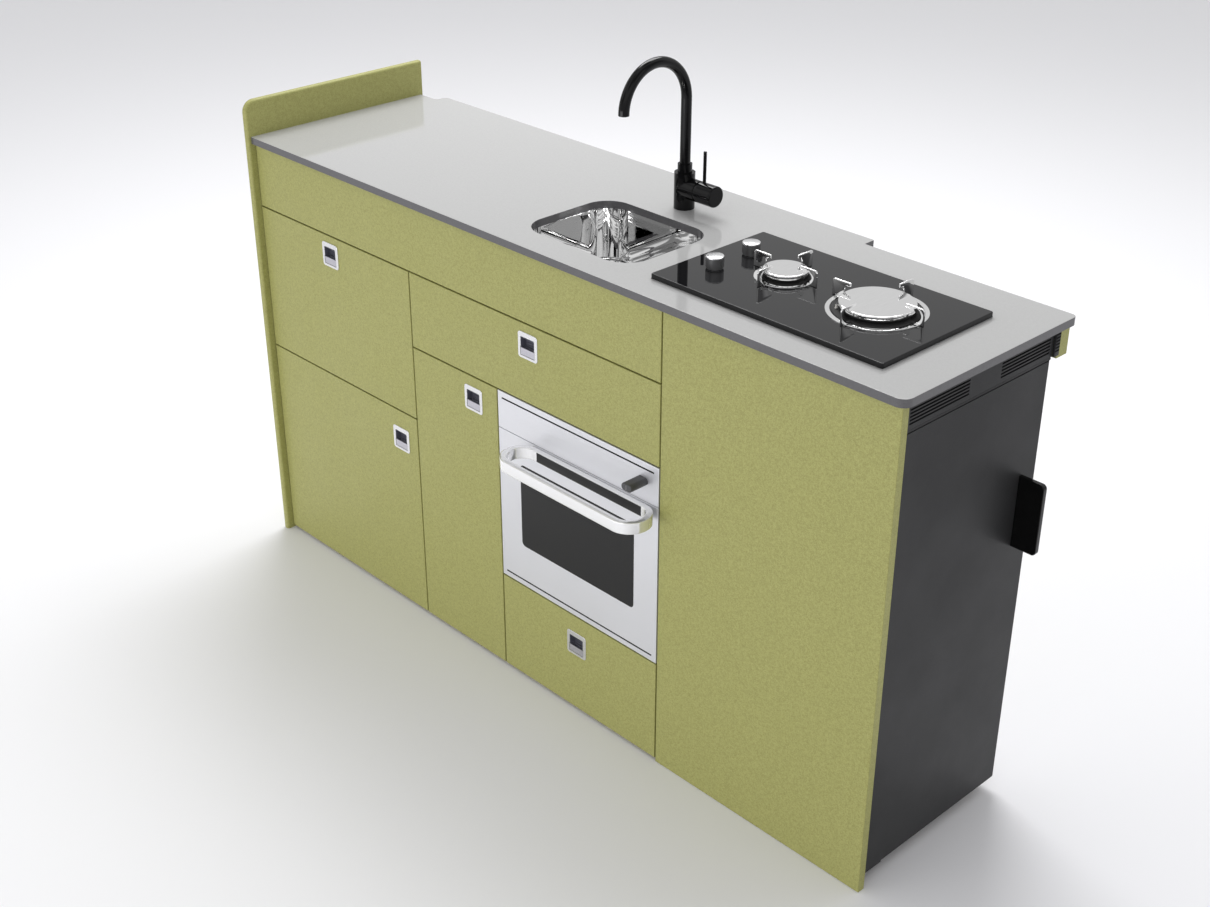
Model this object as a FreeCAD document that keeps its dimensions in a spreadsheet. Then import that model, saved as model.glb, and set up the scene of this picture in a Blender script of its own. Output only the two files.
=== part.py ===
import FreeCAD, Part
import math
import os
import re

import Sketcher
from FreeCAD import Placement, Rotation, Vector

# Campervan kitchen pod. Places are measured from the inner face of the left end panel (across, to the
# right), from the front face of the doors (deep, to the back) and from the floor (up). The finished
# pieces are shifted so that the middle of the base, on the floor, is the origin.

SIZES = {
    # cabinet
    "tall_wide": 468,
    "board": 15,
    "seam": 3,
    "door_bump": 0.5,
    "clearance": 0.3,
    "running": 0.1,
    "overrun": 5,
    "board_edge_r": 1.2,
    "end_over": 15,
    "end_behind": 8,
    "end_above": 72,
    "end_corner_r": 25,
    "end_nose_r": 5,
    "divider_back": 386,
    "batten_deep": 28,
    "batten_drop": 51,
    "back_panel_thick": 4,
    "base_setback": 47,
    "bay_one": 483,
    "narrow_wide": 245,
    "oven_wide": 411,
    "middle_drawer_high": 153,
    "left_door_high": 441.5,
    "oven_high": 391,
    "bottom_drawer_high": 204.5,
    "toe_line": 6.5,
    "rail_deep": 60,
    "oven_shelf_setback": 15,
    "floor_bolt_r": 4.5,
    "floor_bolt_left": 120,
    "floor_bolt_front": 80,
    "floor_bolt_end": 487,
    "floor_bolt_behind": 56,
    "wall_bolt_r": 3.5,
    "wall_bolt_left": 150,
    "wall_bolt_end": 107,
    # worktop
    "fascia_high": 131,
    "top_thick": 14,
    "top_front_over": 8,
    "top_right_over": 9,
    "top_behind": 4,
    "top_back_step": 26,
    "top_step_left": 52,
    "top_step_past": 64,
    "top_front_r": 18,
    "top_back_r": 10,
    "top_step_flat": 2,
    "top_step_right_r": 3,
    "top_edge_r": 1,
    # sink
    "sink_past": 11,
    "sink_front": 53,
    "sink_across": 264,
    "sink_deep": 213,
    "sink_corner_r": 50,
    "sink_depth": 115,
    "sink_wall": 1.2,
    "sink_floor_r": 22,
    "sink_flange": 12,
    "waste_hole_r": 30,
    "waste_wall": 2,
    "waste_depth": 34,
    "waste_ledge": 4,
    "waste_flange": 11,
    "waste_flange_thick": 1.5,
    "waste_pipe_r": 14,
    "waste_pipe_long": 10,
    "strainer_thick": 2,
    "strainer_knob_r": 5,
    "strainer_knob_high": 13,
    # tap
    "tap_aside": 0.5,
    "tap_behind": 59,
    "tap_body_r": 18.75,
    "tap_body_high": 66,
    "tap_hole_r": 16,
    "tap_shank_long": 40,
    "tap_nut_r": 24,
    "tap_nut_high": 12,
    "tap_arm_r": 19,
    "tap_arm_up": 38,
    "tap_pivot_out": 41.5,
    "tap_socket_rim": 6,
    "tap_cap_out": 35,
    "tap_cap_edge_r": 3,
    "tap_stem_r": 8,
    "tap_stem_long": 8,
    "lever_r": 3,
    "lever_out": 6,
    "lever_foot": 14,
    "lever_top": 75,
    "collar_r": 13,
    "collar_high": 15,
    "tube_r": 9.5,
    "tube_wall": 2,
    "arch_r": 75,
    "arch_up": 198,
    # hob
    "hob_before": 77,
    "hob_front": 50,
    "hob_across": 468,
    "hob_deep": 270,
    "hob_corner_r": 4,
    "hob_glass_thick": 8,
    "hob_seal": 1,
    "hob_rim": 13,
    "hob_edge_r": 1.5,
    "hob_tray_drop": 52,
    "hob_tray_wall": 1,
    "knob_past": 56,
    "knob_before": 55.5,
    "knob_behind": 31.5,
    "hob_knob_r": 15,
    "hob_knob_high": 21.5,
    "hob_knob_edge_r": 1,
    "hob_spindle_r": 4,
    "hob_spindle_up": 12,
    "hob_knob_gap": 0.5,
    "valve_wide": 24,
    "burner_small_past": 157,
    "burner_apart": 185,
    "burner_in": 145.5,
    "burner_small_ring_r": 50,
    "burner_large_ring_r": 79.5,
    "burner_ring_width": 9,
    "burner_ring_high": 1,
    "burner_small_base_r": 40.5,
    "burner_large_base_r": 70,
    "burner_small_cap_r": 36.5,
    "burner_large_cap_r": 60,
    "burner_step": 4,
    "burner_well_inset": 6,
    "burner_base_up": 9.3,
    "burner_wall": 3,
    "burner_cap_high": 4.7,
    "burner_cap_edge_r": 2,
    "prong_thick": 2.8,
    "prong_high": 6,
    "prong_small_top": 28,
    "prong_large_top": 28,
    "prong_small_in": 30,
    "prong_small_out": 66,
    "prong_large_in": 52,
    "prong_large_out": 88,
    "prong_corner_r": 5,
    "prong_arch_r": 6,
    "prong_leg_gap": 3.5,
    "prong_over": 3.5,
    "prong_foot_gap": 0.5,
    # oven
    "oven_skin": 12,
    "oven_plug_back": 26,
    "oven_plug_side": 17,
    "oven_plug_low": 29,
    "oven_fascia_high": 75,
    "oven_split_gap": 1,
    "oven_edge_r": 1,
    "oven_case_side": 14,
    "oven_case_front": 28,
    "oven_case_behind": 11,
    "oven_case_drop": 10.5,
    "oven_wall": 20,
    "oven_sheet": 1.5,
    "oven_floor_high": 26.5,
    "oven_roof_drop": 15.5,
    "oven_back_gap": 35,
    "oven_fascia_thick": 14,
    "oven_hinge_back": 5,
    "oven_hinge_up": 5,
    "oven_pin_r": 2,
    "oven_pin_long": 14,
    "oven_arm_thick": 4,
    "oven_arm_half": 3.5,
    "oven_arm_side": 16,
    "groove_side": 11,
    "groove_top_drop": 12.5,
    "groove_low_up": 12,
    "groove_high": 3.2,
    "groove_depth": 0.8,
    "window_aside": 57.5,
    "window_beside": 56.5,
    "window_up": 87.5,
    "window_drop": 54.5,
    "window_thick": 6,
    "window_r": 9,
    "window_seat": 8,
    "oven_door_rim": 12,
    "oven_door_sheet": 2,
    "handle_in": 69.5,
    "handle_past": 11.5,
    "handle_high": 21.5,
    "handle_drop": 1.5,
    "handle_out": 79.5,
    "handle_thick": 12.4,
    "handle_edge_r": 1.5,
    "oven_knob_in": 36.5,
    "oven_knob_drop": 35,
    "oven_knob_wide": 24,
    "oven_knob_high": 14,
    "oven_knob_round": 6.5,
    "oven_knob_edge_r": 2,
    "oven_knob_long": 39,
    "oven_knob_gap": 0.5,
    "oven_spindle_r": 3,
    "oven_valve_wide": 30,
    "oven_valve_deep": 40,
    "rack_above": 135,
    # fridge
    "fridge_end_gap": 4,
    "fridge_side_gap": 26,
    "fridge_front_gap": 3,
    "fridge_back_gap": 7,
    "fridge_foot_high": 14,
    "fridge_top_gap": 53,
    "fridge_door_thick": 43,
    "fridge_door_edge_r": 6,
    "fridge_door_gap": 9,
    "fridge_door_rim": 45,
    "fridge_door_recess": 26,
    "fridge_wall": 30,
    "fridge_floor_wall": 15,
    "fridge_bay_deep": 130,
    "fridge_bay_high": 180,
    "fridge_plate": 4,
    "fridge_plate_gap": 0.7,
    "fridge_hinge_plate_deep": 45,
    "fridge_pin_x": 9,
    "fridge_pin_y": 16,
    "fridge_pin_r": 4,
    "fridge_pin_long": 14,
    "fridge_foot_r": 15,
    "fridge_foot_inset": 65,
    "fridge_shelf_thick": 5,
    "shelf_low_up": 301,
    "shelf_mid_up": 170,
    "shelf_high_up": 150,
    "fin_far": 48,
    "fin_thick": 9,
    "fin_out": 47,
    "fin_up": 491,
    "fin_high": 128,
    "fin_r": 8,
    "vent_gap": 6,
    "vent_thick": 6,
    "vent_aside": 1,
    "slot_high": 3,
    "slot_pitch": 5.6,
    "slot_count": 6,
    "slot_up": 8,
    "slot_aside": 8,
    "slot_one_long": 141,
    "slot_two_long": 127,
    "compressor_r": 52,
    "compressor_high": 120,
    "compressor_edge_r": 20,
    # latches
    "latch": 50,
    "latch_r": 6,
    "latch_proud": 2,
    "latch_edge_r": 0.8,
    "latch_cup": 42,
    "latch_fit": 0.3,
    "latch_window_wide": 35.5,
    "latch_window_high": 21.5,
    "latch_window_drop": 9.3,
    "latch_window_r": 2,
    "latch_pocket": 11,
    "paddle_high": 13.2,
    "paddle_front": 1.6,
    "paddle_thick": 3.2,
    "paddle_seat": 4.5,
    "paddle_pivot_up": 1.6,
    "paddle_pin_r": 1,
    "paddle_pin_long": 1.5,
    "paddle_play": 0.8,
    "bolt_wide": 10,
    "bolt_thick": 3,
    "bolt_foot": 6,
    "latch_a_in": 248,
    "latch_a_drop": 40,
    "latch_b_in": 333.6,
    "latch_b_drop": 41.5,
    "latch_c_in": 206.5,
    "latch_c_drop": 59.5,
    "latch_d_in": 52,
    "latch_d_drop": 61.4,
    "latch_e_in": 66.4,
    "latch_e_drop": 45.3,
    # drawers and doors
    "drawer_box_gap": 31.5,
    "drawer_side": 13,
    "drawer_wall": 12,
    "drawer_floor": 6,
    "upper_box_up": 22,
    "drawer_box_drop": 55,
    "middle_box_up": 20,
    "bottom_box_up": 15,
    "bottom_box_drop": 63,
    "runner_high": 30,
    "runner_web": 3,
    "runner_deep": 9,
    "slider_high": 22,
    "slider_up": 22,
    "hinge_inset": 90,
    "hinge_plate_thick": 3,
    "hinge_plate_high": 36,
    "hinge_plate_long": 40,
    "hinge_arm_wide": 9,
    "hinge_arm_high": 12,
    "hinge_arm_gap": 0.5,
}

# Places that follow from the sizes above, written in the same words.
PLACES = {
    "pod_length": "bay_three + tall_wide",
    "bay_two": "bay_one + narrow_wide",
    "bay_three": "bay_two + oven_wide",
    "rail_line": "middle_line + middle_drawer_high",
    "left_line": "toe_line + left_door_high",
    "middle_line": "oven_line + oven_high",
    "oven_line": "toe_line + bottom_drawer_high",
    "top_high": "under_top + top_thick",
    "end_high": "top_high + end_above",
    "end_back": "rail_back + end_behind",
    "top_back": "rail_back + top_behind",
    "top_step_right": "bay_three + top_step_past",
    "top_step_left_r": "(top_back_step - top_step_flat) / 2",
    "floor_bolt_across": "pod_length - floor_bolt_left - floor_bolt_end",
    "floor_bolt_deep": "divider_back - floor_bolt_front - floor_bolt_behind",
    "wall_bolt_step": "(pod_length - wall_bolt_left - wall_bolt_end) / 3",
    "sink_left": "bay_two + sink_past",
    "tap_across": "sink_x - tap_aside",
    "tap_back": "sink_back + tap_behind",
    "hob_left": "bay_three - hob_before",
    "hob_knob_across": "hob_left + knob_past",
    "hob_knob_front_y": "burner_y - knob_before",
    "hob_knob_back_y": "burner_y + knob_behind",
    "burner_small_x": "hob_left + burner_small_past",
    "burner_large_x": "burner_small_x + burner_apart",
    "burner_y": "hob_front + burner_in",
    "oven_split": "oven_fascia_top - oven_fascia_high",
    "oven_case_back": "divider_back - oven_case_behind",
    "oven_case_top": "oven_fascia_top - oven_case_drop",
    "oven_cavity_low": "case_low + oven_floor_high",
    "oven_cavity_top": "oven_split - oven_roof_drop",
    "oven_cavity_back": "oven_case_back - oven_back_gap",
    "groove_top_line": "oven_fascia_top - groove_top_drop",
    "groove_low_line": "oven_door_low + groove_low_up",
    "window_left": "oven_left + window_aside",
    "window_right": "oven_right - window_beside",
    "window_low": "oven_door_low + window_up",
    "window_top": "oven_split - window_drop",
    "handle_left": "oven_left + handle_in",
    "handle_right": "oven_right + handle_past",
    "handle_low": "handle_top - handle_high",
    "handle_top": "oven_split - handle_drop",
    "oven_knob_across": "oven_right - oven_knob_in",
    "oven_knob_up": "oven_fascia_top - oven_knob_drop",
    "rack_up": "oven_cavity_low + rack_above",
    "fridge_front": "pod_length - fridge_end_gap",
    "fridge_left": "bay_three + fridge_side_gap",
    "fridge_near": "board + fridge_front_gap",
    "fridge_far": "divider_back - fridge_back_gap",
    "fridge_low": "board + fridge_foot_high",
    "fridge_top": "under_top - fridge_top_gap",
    "fridge_shelf_low": "fridge_low + shelf_low_up",
    "fridge_shelf_mid": "fridge_shelf_low + shelf_mid_up",
    "fridge_shelf_high": "fridge_shelf_mid + shelf_high_up",
    "fin_low": "fridge_low + fin_up",
    "vent_low": "fridge_top + vent_gap",
    "vent_near": "board + vent_aside",
    "slot_low": "vent_low + slot_up",
    "slot_one_near": "vent_near + slot_aside",
    "slot_one_far": "slot_one_near + slot_one_long",
    "slot_two_near": "slot_two_far - slot_two_long",
    "slot_two_far": "fridge_far - slot_aside",
    "latch_a_x": "bay_one - latch_a_in",
    "latch_a_z": "rail_line - latch_a_drop",
    "latch_b_x": "bay_one + latch_b_in",
    "latch_b_z": "rail_line - latch_b_drop",
    "latch_c_x": "bay_two + latch_c_in",
    "latch_c_z": "oven_line - latch_c_drop",
    "latch_d_x": "bay_one - latch_d_in",
    "latch_d_z": "left_line - latch_d_drop",
    "latch_e_x": "bay_two - latch_e_in",
    "latch_e_z": "middle_line - latch_e_drop",
    "drawer_box_long": "divider_back - door_thick - drawer_box_gap",
    "runner_long": "drawer_box_long",
    "upper_box_low": "left_line + upper_box_up",
    "upper_box_top": "rail_line - drawer_box_drop",
    "middle_box_low": "middle_line + middle_box_up",
    "middle_box_top": "rail_line - drawer_box_drop",
    "bottom_box_low": "board + bottom_box_up",
    "bottom_box_top": "oven_line - bottom_box_drop",
    "middle_x": "pod_length / 2",
    "middle_y": "rail_back / 2",
    "rail_back": "divider_back + batten_deep",
    "under_top": "rail_line + fascia_high",
    "half_board": "board / 2",
    "half_seam": "seam / 2",
    "door_thick": "board - door_bump",
    "shelf_left_low": "left_line - half_board",
    "shelf_middle_low": "middle_line - half_board",
    "rail_low": "rail_line - half_board",
    "shelf_oven_low": "oven_line - half_board",
    "top_right": "pod_length + top_right_over",
    "sink_right": "sink_left + sink_across",
    "sink_back": "sink_front + sink_deep",
    "sink_x": "sink_left + sink_across / 2",
    "sink_y": "sink_front + sink_deep / 2",
    "sink_floor": "under_top - sink_depth",
    "waste_r": "waste_hole_r - clearance",
    "waste_low": "sink_floor - waste_depth",
    "ledge_up": "sink_floor - sink_wall - strainer_thick",
    "tap_arm_z": "top_high + tap_arm_up",
    "tap_pivot_x": "tap_across + tap_pivot_out",
    "tap_socket_r": "tap_arm_r + clearance",
    "lever_x": "tap_pivot_x + lever_out",
    "collar_low": "top_high + tap_body_high + clearance",
    "arch_z": "top_high + arch_up",
    "hob_right": "hob_left + hob_across",
    "hob_back": "hob_front + hob_deep",
    "glass_low": "top_high + hob_seal",
    "glass_top": "glass_low + hob_glass_thick",
    "tray_low": "top_high - hob_tray_drop",
    "hob_knob_low": "glass_top + hob_knob_gap",
    "oven_left": "bay_two + half_seam",
    "oven_right": "bay_three - half_seam",
    "oven_door_low": "oven_line + half_seam",
    "oven_fascia_low": "oven_split + oven_split_gap",
    "oven_fascia_top": "middle_line - half_seam",
    "oven_hinge_z": "oven_door_low + oven_hinge_up",
    "case_left": "bay_two + oven_case_side",
    "case_right": "bay_three - oven_case_side",
    "case_low": "oven_line + half_board",
    "handle_end_r": "handle_out / 2",
    "cabinet_front": "fridge_front - fridge_door_thick - fridge_door_gap + seam / 3",
    "door_back_x": "fridge_front - fridge_door_thick",
    "fridge_pin_at_x": "fridge_front - fridge_pin_x",
    "fridge_pin_at_y": "fridge_near + fridge_pin_y",
}

WORDS = re.compile(r"[a-z][a-z_]*")
doc = FreeCAD.newDocument("kitchen_pod")
sheet = doc.addObject("Spreadsheet::Sheet", "sizes")
nodes = []


def fill_sheet():
    """Write each size in the sheet, with its name as the alias."""
    for row, (name, number) in enumerate(SIZES.items(), start=1):
        sheet.set(f"A{row}", name)
        sheet.set(f"B{row}", str(number))
        sheet.setAlias(f"B{row}", name)
    doc.recompute()


def formula(text):
    """Spell out places, and point every size at its cell in the sheet."""
    def swap(match):
        word = match.group(0)
        if word in PLACES:
            return "(" + formula(PLACES[word]) + ")"
        if word in SIZES:
            return "sizes." + word
        return word
    return WORDS.sub(swap, str(text))


def number(text):
    """Today's value of a formula."""
    return float(sheet.evalExpression(formula(text)))


def bind(item, path, text):
    item.setExpression(path, formula(text))


def put(item, x, y, z, turn=None):
    """Bind an item's place, with a fixed turn where it has one."""
    if turn is not None:
        item.Placement = Placement(Vector(), turn)
    bind(item, "Placement.Base.x", x)
    bind(item, "Placement.Base.y", y)
    bind(item, "Placement.Base.z", z)


ALONG_X = Rotation(Vector(0, 1, 0), 90)
ALONG_Y = Rotation(Vector(1, 0, 0), -90)
TOWARDS_FRONT = Rotation(Vector(1, 0, 0), 90)
ARCH_TURN = Rotation(Vector(1, 1, 1), 120)


def box(name, x, y, z):
    """A block between two places on each axis."""
    block = doc.addObject("Part::Box", name)
    bind(block, "Length", f"({x[1]}) - ({x[0]})")
    bind(block, "Width", f"({y[1]}) - ({y[0]})")
    bind(block, "Height", f"({z[1]}) - ({z[0]})")
    put(block, x[0], y[0], z[0])
    return block


def rod(name, radius, length, at, turn=None):
    """A cylinder that starts at a place and runs up, or along its turn."""
    bar = doc.addObject("Part::Cylinder", name)
    bind(bar, "Radius", radius)
    bind(bar, "Height", length)
    put(bar, at[0], at[1], at[2], turn)
    return bar


def ball(name, radius, at):
    sphere = doc.addObject("Part::Sphere", name)
    bind(sphere, "Radius", radius)
    put(sphere, at[0], at[1], at[2])
    return sphere


def join(name, parts):
    whole = doc.addObject("Part::MultiFuse", name)
    whole.Shapes = parts
    whole.Refine = True
    return whole


def group(name, parts):
    """Separate solids that share one node."""
    bundle = doc.addObject("Part::Compound", name)
    bundle.Links = parts
    return bundle


def cut(name, base, tools):
    result = doc.addObject("Part::Cut", name)
    result.Base = base
    result.Tool = tools[0] if len(tools) == 1 else group(name + "_tools", tools)
    return result


def node(item, name):
    """Name a finished piece and shift it to the pod's own origin."""
    item.Label = name
    bind(item, "Placement.Base.x", "-middle_x")
    bind(item, "Placement.Base.y", "-middle_y")
    nodes.append(item)
    return item


def body(name):
    return doc.addObject("PartDesign::Body", name)


def plane(holder, role):
    return [item for item in holder.Origin.OriginFeatures if item.Role == role][0]


PLANE_SIGN = {"XY_Plane": 1, "XZ_Plane": -1, "YZ_Plane": 1}


def sketch_on(holder, role, place):
    """A sketch on one of the body's planes, moved along that plane's axis to a place."""
    drawing = holder.newObject("Sketcher::SketchObject", "outline")
    drawing.AttachmentSupport = [(plane(holder, role), "")]
    drawing.MapMode = "FlatFace"
    sign = "" if PLANE_SIGN[role] > 0 else "-"
    bind(drawing, "AttachmentOffset.Base.z", f"{sign}({place})")
    return drawing


def pin_point(drawing, geometry, position, x, y):
    """Hold a point at two bound distances from the sketch's origin."""
    for kind, text in (("DistanceX", x), ("DistanceY", y)):
        rule = Sketcher.Constraint(kind, -1, 1, geometry, position, number(text))
        index = drawing.addConstraint(rule)
        bind(drawing, f"Constraints[{index}]", text)


def draw_circle(drawing, x, y, radius):
    centre = Vector(number(x), number(y), 0)
    ring = drawing.addGeometry(Part.Circle(centre, Vector(0, 0, 1), number(radius)), False)
    pin_point(drawing, ring, 3, x, y)
    index = drawing.addConstraint(Sketcher.Constraint("Radius", ring, number(radius)))
    bind(drawing, f"Constraints[{index}]", radius)


def corner_arc(before, here, after, radius):
    """The arc that rounds a corner, with the points where it starts and ends."""
    back = (before - here).normalize()
    ahead = (after - here).normalize()
    half = back.getAngle(ahead) / 2
    start = here + back * (radius / math.tan(half))
    finish = here + ahead * (radius / math.tan(half))
    centre = here + (back + ahead).normalize() * (radius / math.sin(half))
    middle = centre + (here - centre).normalize() * radius
    return start, finish, Part.Arc(start, middle, finish)


def draw_outline(drawing, corners):
    """A closed outline of straight edges whose corners, each (x, y, radius), may be round."""
    spots = [Vector(number(x), number(y), 0) for x, y, radius in corners]
    count = len(corners)
    starts = list(spots)
    ends = list(spots)
    arcs = {}
    for index, (x, y, radius) in enumerate(corners):
        if radius != "0":
            before = spots[index - 1]
            after = spots[(index + 1) % count]
            starts[index], ends[index], arc = corner_arc(before, spots[index], after, number(radius))
            arcs[index] = drawing.addGeometry(arc, False)
    lines = []
    for index in range(count):
        after = (index + 1) % count
        lines.append(drawing.addGeometry(Part.LineSegment(ends[index], starts[after]), False))
    for index, (x, y, radius) in enumerate(corners):
        arriving = lines[index - 1]
        leaving = lines[index]
        if index not in arcs:
            drawing.addConstraint(Sketcher.Constraint("Coincident", arriving, 2, leaving, 1))
            pin_point(drawing, leaving, 1, x, y)
            continue
        arc = arcs[index]
        turn = (spots[index] - spots[index - 1]).cross(spots[(index + 1) % count] - spots[index]).z
        first, last = (1, 2) if turn > 0 else (2, 1)
        drawing.addConstraint(Sketcher.Constraint("Tangent", arriving, 2, arc, first))
        drawing.addConstraint(Sketcher.Constraint("Tangent", leaving, 1, arc, last))
        index_r = drawing.addConstraint(Sketcher.Constraint("Radius", arc, number(radius)))
        bind(drawing, f"Constraints[{index_r}]", radius)
        tip = drawing.addGeometry(Part.Point(spots[index]), True)
        drawing.addConstraint(Sketcher.Constraint("PointOnObject", tip, 1, arriving))
        drawing.addConstraint(Sketcher.Constraint("PointOnObject", tip, 1, leaving))
        pin_point(drawing, tip, 1, x, y)


def draw(drawing, outlines):
    for outline in outlines:
        if outline[0] == "circle":
            draw_circle(drawing, *outline[1:])
        else:
            draw_outline(drawing, outline)


def rectangle(x, y, radius="0"):
    return [(x[0], y[0], radius), (x[1], y[0], radius), (x[1], y[1], radius), (x[0], y[1], radius)]


def pad(holder, role, outlines, low, high):
    """A plate between two places along a plane's axis."""
    drawing = sketch_on(holder, role, low if PLANE_SIGN[role] > 0 else high)
    draw(drawing, outlines)
    slab = holder.newObject("PartDesign::Pad", "pad")
    slab.Profile = drawing
    bind(slab, "Length", f"({high}) - ({low})")
    return slab


def pocket(holder, role, outlines, low, high):
    """A recess or hole between two places along a plane's axis."""
    drawing = sketch_on(holder, role, high if PLANE_SIGN[role] > 0 else low)
    draw(drawing, outlines)
    hollow = holder.newObject("PartDesign::Pocket", "pocket")
    hollow.Profile = drawing
    bind(hollow, "Length", f"({high}) - ({low})")
    return hollow


def soften(holder, radius, chosen):
    """Round the edges that a test picks out."""
    doc.recompute()
    tip = holder.Tip
    names = [f"Edge{index}" for index, edge in enumerate(tip.Shape.Edges, start=1) if chosen(edge)]
    fillet = holder.newObject("PartDesign::Fillet", "soft_edge")
    fillet.Base = (tip, names)
    bind(fillet, "Radius", radius)
    return fillet


def flat_at(axis, place):
    """A test for edges that lie wholly in one plane across an axis."""
    level = number(place)
    near = number("running") / 10

    def test(edge):
        bounds = edge.BoundBox
        low = getattr(bounds, axis + "Min")
        high = getattr(bounds, axis + "Max")
        return abs(low - level) < near and abs(high - level) < near
    return test


def either(*tests):
    return lambda edge: any(test(edge) for test in tests)


def both(*tests):
    return lambda edge: all(test(edge) for test in tests)


def neither(*tests):
    return lambda edge: not any(test(edge) for test in tests)


def plate(name, role, outlines, low, high):
    holder = body(name)
    pad(holder, role, outlines, low, high)
    return holder


def turned(name, profile, at, turn=None):
    """A turned piece: a half section of (out, up, radius) corners spun about its own axis."""
    holder = body(name)
    drawing = sketch_on(holder, "XZ_Plane", "0")
    draw_outline(drawing, profile)
    spin = holder.newObject("PartDesign::Revolution", "spin")
    spin.Profile = drawing
    spin.ReferenceAxis = (drawing, ["V_Axis"])
    spin.Angle = 360
    put(holder, at[0], at[1], at[2], turn)
    return holder


def placed_node(holder, name, at):
    """A piece with a place of its own that is a node by itself."""
    holder.Label = name
    bind(holder, "Placement.Base.x", f"({at[0]}) - middle_x")
    bind(holder, "Placement.Base.y", f"({at[1]}) - middle_y")
    nodes.append(holder)
    return holder


def end_panel():
    outline = [
        ("-end_over", "0", "0"),
        ("end_back", "0", "0"),
        ("end_back", "end_high", "0"),
        ("-end_over", "end_high", "end_corner_r"),
    ]
    panel = plate("end_panel_body", "YZ_Plane", [outline], "-board", "0")
    faces = either(flat_at("X", "0"), flat_at("X", "-board"))
    rim = neither(flat_at("Z", "0"), flat_at("Y", "end_back"))
    soften(panel, "end_nose_r", both(faces, rim))
    node(panel, "end_panel")


def base_panel():
    board = body("base_board")
    edges = rectangle(("0", "pod_length - base_setback"), ("board", "rail_back"))
    pad(board, "XY_Plane", [edges], "0", "board")
    holes = []
    for x in ("floor_bolt_left", "floor_bolt_left + floor_bolt_across"):
        for y in ("floor_bolt_front", "floor_bolt_front + floor_bolt_deep"):
            holes.append(("circle", x, y, "floor_bolt_r"))
    pocket(board, "XY_Plane", holes, "-overrun", "board + overrun")
    node(board, "base_panel")


def front_board(name, x, z, thick):
    """A fixed or moving front with softened front edges."""
    board = plate(name + "_board", "XZ_Plane", [rectangle(x, z)], "0", thick)
    soften(board, "board_edge_r", flat_at("Y", "0"))
    return board


def fixed_fronts():
    tall = front_board("tall", ("bay_three + half_seam", "pod_length"), ("0", "under_top"), "board")
    node(tall, "tall_front_panel")
    fascia = front_board("fascia", ("half_seam", "bay_three - half_seam"),
                         ("rail_line + half_seam", "under_top"), "board")
    node(fascia, "top_fascia")


def upright(name, line, top):
    return box(name, (f"{line} - half_board", f"{line} + half_board"), ("board", "divider_back"),
               ("board", top))


def dividers():
    left = upright("divider_left", "bay_one", "under_top")
    middle = upright("divider_middle", "bay_two", "shelf_middle_low")
    tall = upright("divider_right", "bay_three", "under_top")
    notch = box("tray_notch", ("bay_three - board", "bay_three + board"),
                ("hob_front", "hob_back"), ("tray_low - board", "under_top + overrun"))
    right = cut("divider_right_notched", tall, [notch])
    node(group("dividers_all", [left, middle, right]), "dividers")


def shelves():
    deep = ("board", "divider_back")
    left_bay = ("0", "bay_one - half_board")
    middle_bay = ("bay_one + half_board", "bay_three - half_board")
    oven_bay = ("bay_two + half_board", "bay_three - half_board")
    oven_deep = ("board + oven_shelf_setback", "divider_back")
    rail_deep = ("board", "board + rail_deep")
    boards = [
        box("shelf_left", left_bay, deep, ("shelf_left_low", "shelf_left_low + board")),
        box("shelf_middle", middle_bay, deep, ("shelf_middle_low", "shelf_middle_low + board")),
        box("shelf_oven", oven_bay, oven_deep, ("shelf_oven_low", "shelf_oven_low + board")),
        box("rail_left", left_bay, rail_deep, ("rail_low", "rail_low + board")),
        box("rail_middle", middle_bay, rail_deep, ("rail_low", "rail_low + board")),
    ]
    node(group("shelves_all", boards), "shelves_and_rails")


def back_frame():
    deep = ("divider_back", "rail_back")
    top = box("batten_top", ("0", "pod_length"), deep, ("under_top - batten_drop", "under_top"))
    holes = []
    for index in range(4):
        across = f"wall_bolt_left + {index} * wall_bolt_step"
        at = (across, "divider_back - overrun", "under_top - batten_drop / 2")
        holes.append(rod(f"wall_hole_{index}", "wall_bolt_r", "batten_deep + 2 * overrun", at, ALONG_Y))
    drilled = cut("batten_drilled", top, holes)
    bay = ("0", "bay_three + half_board")
    low = box("batten_low", bay, deep, ("board", "board + batten_drop"))
    panel = box("back_board", bay, ("divider_back", "divider_back + back_panel_thick"),
                ("board + batten_drop", "under_top - batten_drop"))
    node(group("back_all", [drilled, low, panel]), "back_frame")


def worktop():
    top = body("worktop_slab")
    outline = [
        ("0", "-top_front_over", "0"),
        ("top_right", "-top_front_over", "top_front_r"),
        ("top_right", "top_back", "top_back_r"),
        ("top_step_right", "top_back", "top_step_right_r"),
        ("top_step_right", "top_back + top_back_step", "top_step_right_r"),
        ("top_step_left", "top_back + top_back_step", "top_step_left_r"),
        ("top_step_left", "top_back", "top_step_left_r"),
        ("0", "top_back", "0"),
    ]
    pad(top, "XY_Plane", [outline], "under_top", "top_high")
    soften(top, "top_edge_r", both(flat_at("Z", "top_high"), neither(flat_at("X", "0"))))
    sink = rectangle(("sink_left", "sink_right"), ("sink_front", "sink_back"), "sink_corner_r")
    hob = rectangle(("hob_left + hob_rim", "hob_right - hob_rim"),
                    ("hob_front + hob_rim", "hob_back - hob_rim"))
    tap = ("circle", "tap_across", "tap_back", "tap_hole_r")
    pocket(top, "XY_Plane", [sink, hob, tap], "under_top - overrun", "top_high + overrun")
    node(top, "worktop")


def grown(low, high, by):
    return (f"{low} - ({by})", f"{high} + ({by})")


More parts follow.
